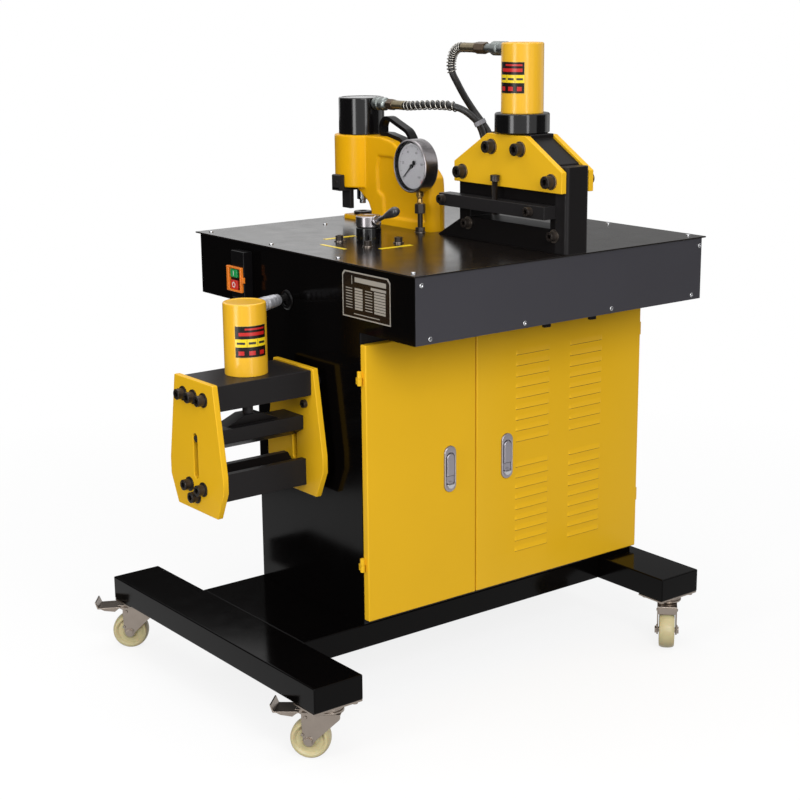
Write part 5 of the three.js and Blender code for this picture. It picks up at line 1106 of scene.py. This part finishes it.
# ---------------------------------------------------------------- supply inside
TANK_TOP = -563.7
piece("supply_tank", slab((-340, -60), (-150, 100), (-703.7, TANK_TOP), 4, 3), TANK_GREY, ["oil_tank"])
cap = turned([(0, 0), (26, 0), (26, 14), (22, 18), (0, 18)], 48, 1, (-95, -90, TANK_TOP))
piece("supply_tank_cap", cap, BLACK_ABS)
ribs = [(0, 0), (84, 0), (84, 12), (66, 12)]
for i in range(14):
    ribs += [(66, 20 + i * 11), (70, 20 + i * 11), (70, 24 + i * 11), (66, 24 + i * 11)]
ribs += [(66, 178), (62, 190), (0, 190)]
piece("supply_motor", turned(ribs, 56, at=(-200, 20, TANK_TOP)), SATIN_BLACK, ["pump_motor"], slot="black_gloss")


# ---------------------------------------------------------------- studio
def light(name, at, size, power, aim=(0, 0, 0.65)):
    data = bpy.data.lights.new(name, "AREA")
    data.shape, data.size, data.size_y, data.energy = "RECTANGLE", size[0], size[1], power
    lamp = linked(name, data)
    lamp.location = at
    lamp.rotation_euler = (Vector(aim) - Vector(at)).to_track_quat("-Z", "Y").to_euler()
    lamp.visible_camera = False


light("key_softbox", (-1.6, -3.6, 2.6), (2.2, 2.2), 98)
light("left_softbox", (-2.3, -0.44, 1.05), (0.6, 2.0), 22, aim=(0, 0, 1.05))
light("front_softbox", (-0.54, -2.38, 1.05), (0.35, 2.0), 11, aim=(0, 0, 1.05))
light("side_softbox", (3.4, -2.2, 1.8), (1.0, 2.4), 9)
light("top_softbox", (0.2, 0.6, 3.8), (3.0, 3.0), 62)


def flag(name, away, left, right, top, grey):
    """A dark studio flag that faces the object from a place and that only reflections see."""
    beside = Vector((away[1], -away[0], 0)).normalized()
    card = bmesh.new()
    card.faces.new([card.verts.new(Vector(away) + beside * side + UP * height)
                    for side, height in rect((left, right), (0.02, top))])
    data = meshed(name, card)
    cloth = bpy.data.materials.new(name)
    tree = emptied(cloth)
    dim = add(tree, "Emission", {"Color": (grey, grey, grey, 1), "Strength": 1.0})
    add(tree, "OutputMaterial", {"Surface": dim.outputs[0]})
    data.materials.append(cloth)
    hung = linked(name, data)
    hung.visible_camera = hung.visible_diffuse = hung.visible_shadow = hung.visible_transmission = False


flag("low_flag", (0.97, 1.27, 0), -2.4, 1.6, 0.98, 0.04)
flag("right_flag", (0.95, 1.24, 0), 0.25, 1.6, 1.9, 0.3)
flag("left_flag", (-0.95, 0.95, 0), -1.2, 1.3, 1.3, 0.05)
flag("front_right_flag", (1.7, -1.75, 0), -1.0, 1.0, 1.3, 0.08)


def looked_at(tree):
    """1 where the camera looks, straight, in a reflection or through glass, so that it finds pure white."""
    path = add(tree, "LightPath", {}).outputs
    seen = add(tree, "Math", {0: path["Is Camera Ray"], 1: path["Is Glossy Ray"]}, operation="MAXIMUM")
    seen = add(tree, "Math", {0: seen.outputs[0], 1: path["Is Transmission Ray"]}, operation="MAXIMUM")
    return seen.outputs[0]


# The floor keeps the object's shadow near it and fades to plain white further out
bm = bmesh.new()
bmesh.ops.create_grid(bm, x_segments=1, y_segments=1, size=14)
ground = meshed("floor", bm)
pale = bpy.data.materials.new("studio_floor")
tree = emptied(pale)
matt = add(tree, "BsdfDiffuse", {"Color": linear("#F4F4F4")})
glow = add(tree, "Emission", {"Color": (1, 1, 1, 1), "Strength": looked_at(tree)})
reach = add(tree, "VectorMath", {0: add(tree, "TexCoord", {}).outputs["Object"]}, operation="LENGTH")
paler = add(tree, "MapRange", {
    "Value": reach.outputs["Value"], "From Min": 0.9, "From Max": 2.2, "To Min": 0.84, "To Max": 1.0})
both = add(tree, "MixShader", {0: paler.outputs["Result"], 1: matt.outputs[0], 2: glow.outputs[0]})
add(tree, "OutputMaterial", {"Surface": both.outputs[0]})
ground.materials.append(pale)
floor = linked("floor", ground)

world = bpy.data.worlds.new("studio")
bpy.context.scene.world = world
tree = emptied(world)
strength = add(tree, "MapRange", {"Value": looked_at(tree), "To Min": 0.42, "To Max": 1.0})
sky = add(tree, "Background", {"Color": (1, 1, 1, 1), "Strength": strength.outputs["Result"]})
add(tree, "OutputWorld", {"Surface": sky.outputs[0]})

scene = bpy.context.scene
scene.view_settings.view_transform = "Standard"
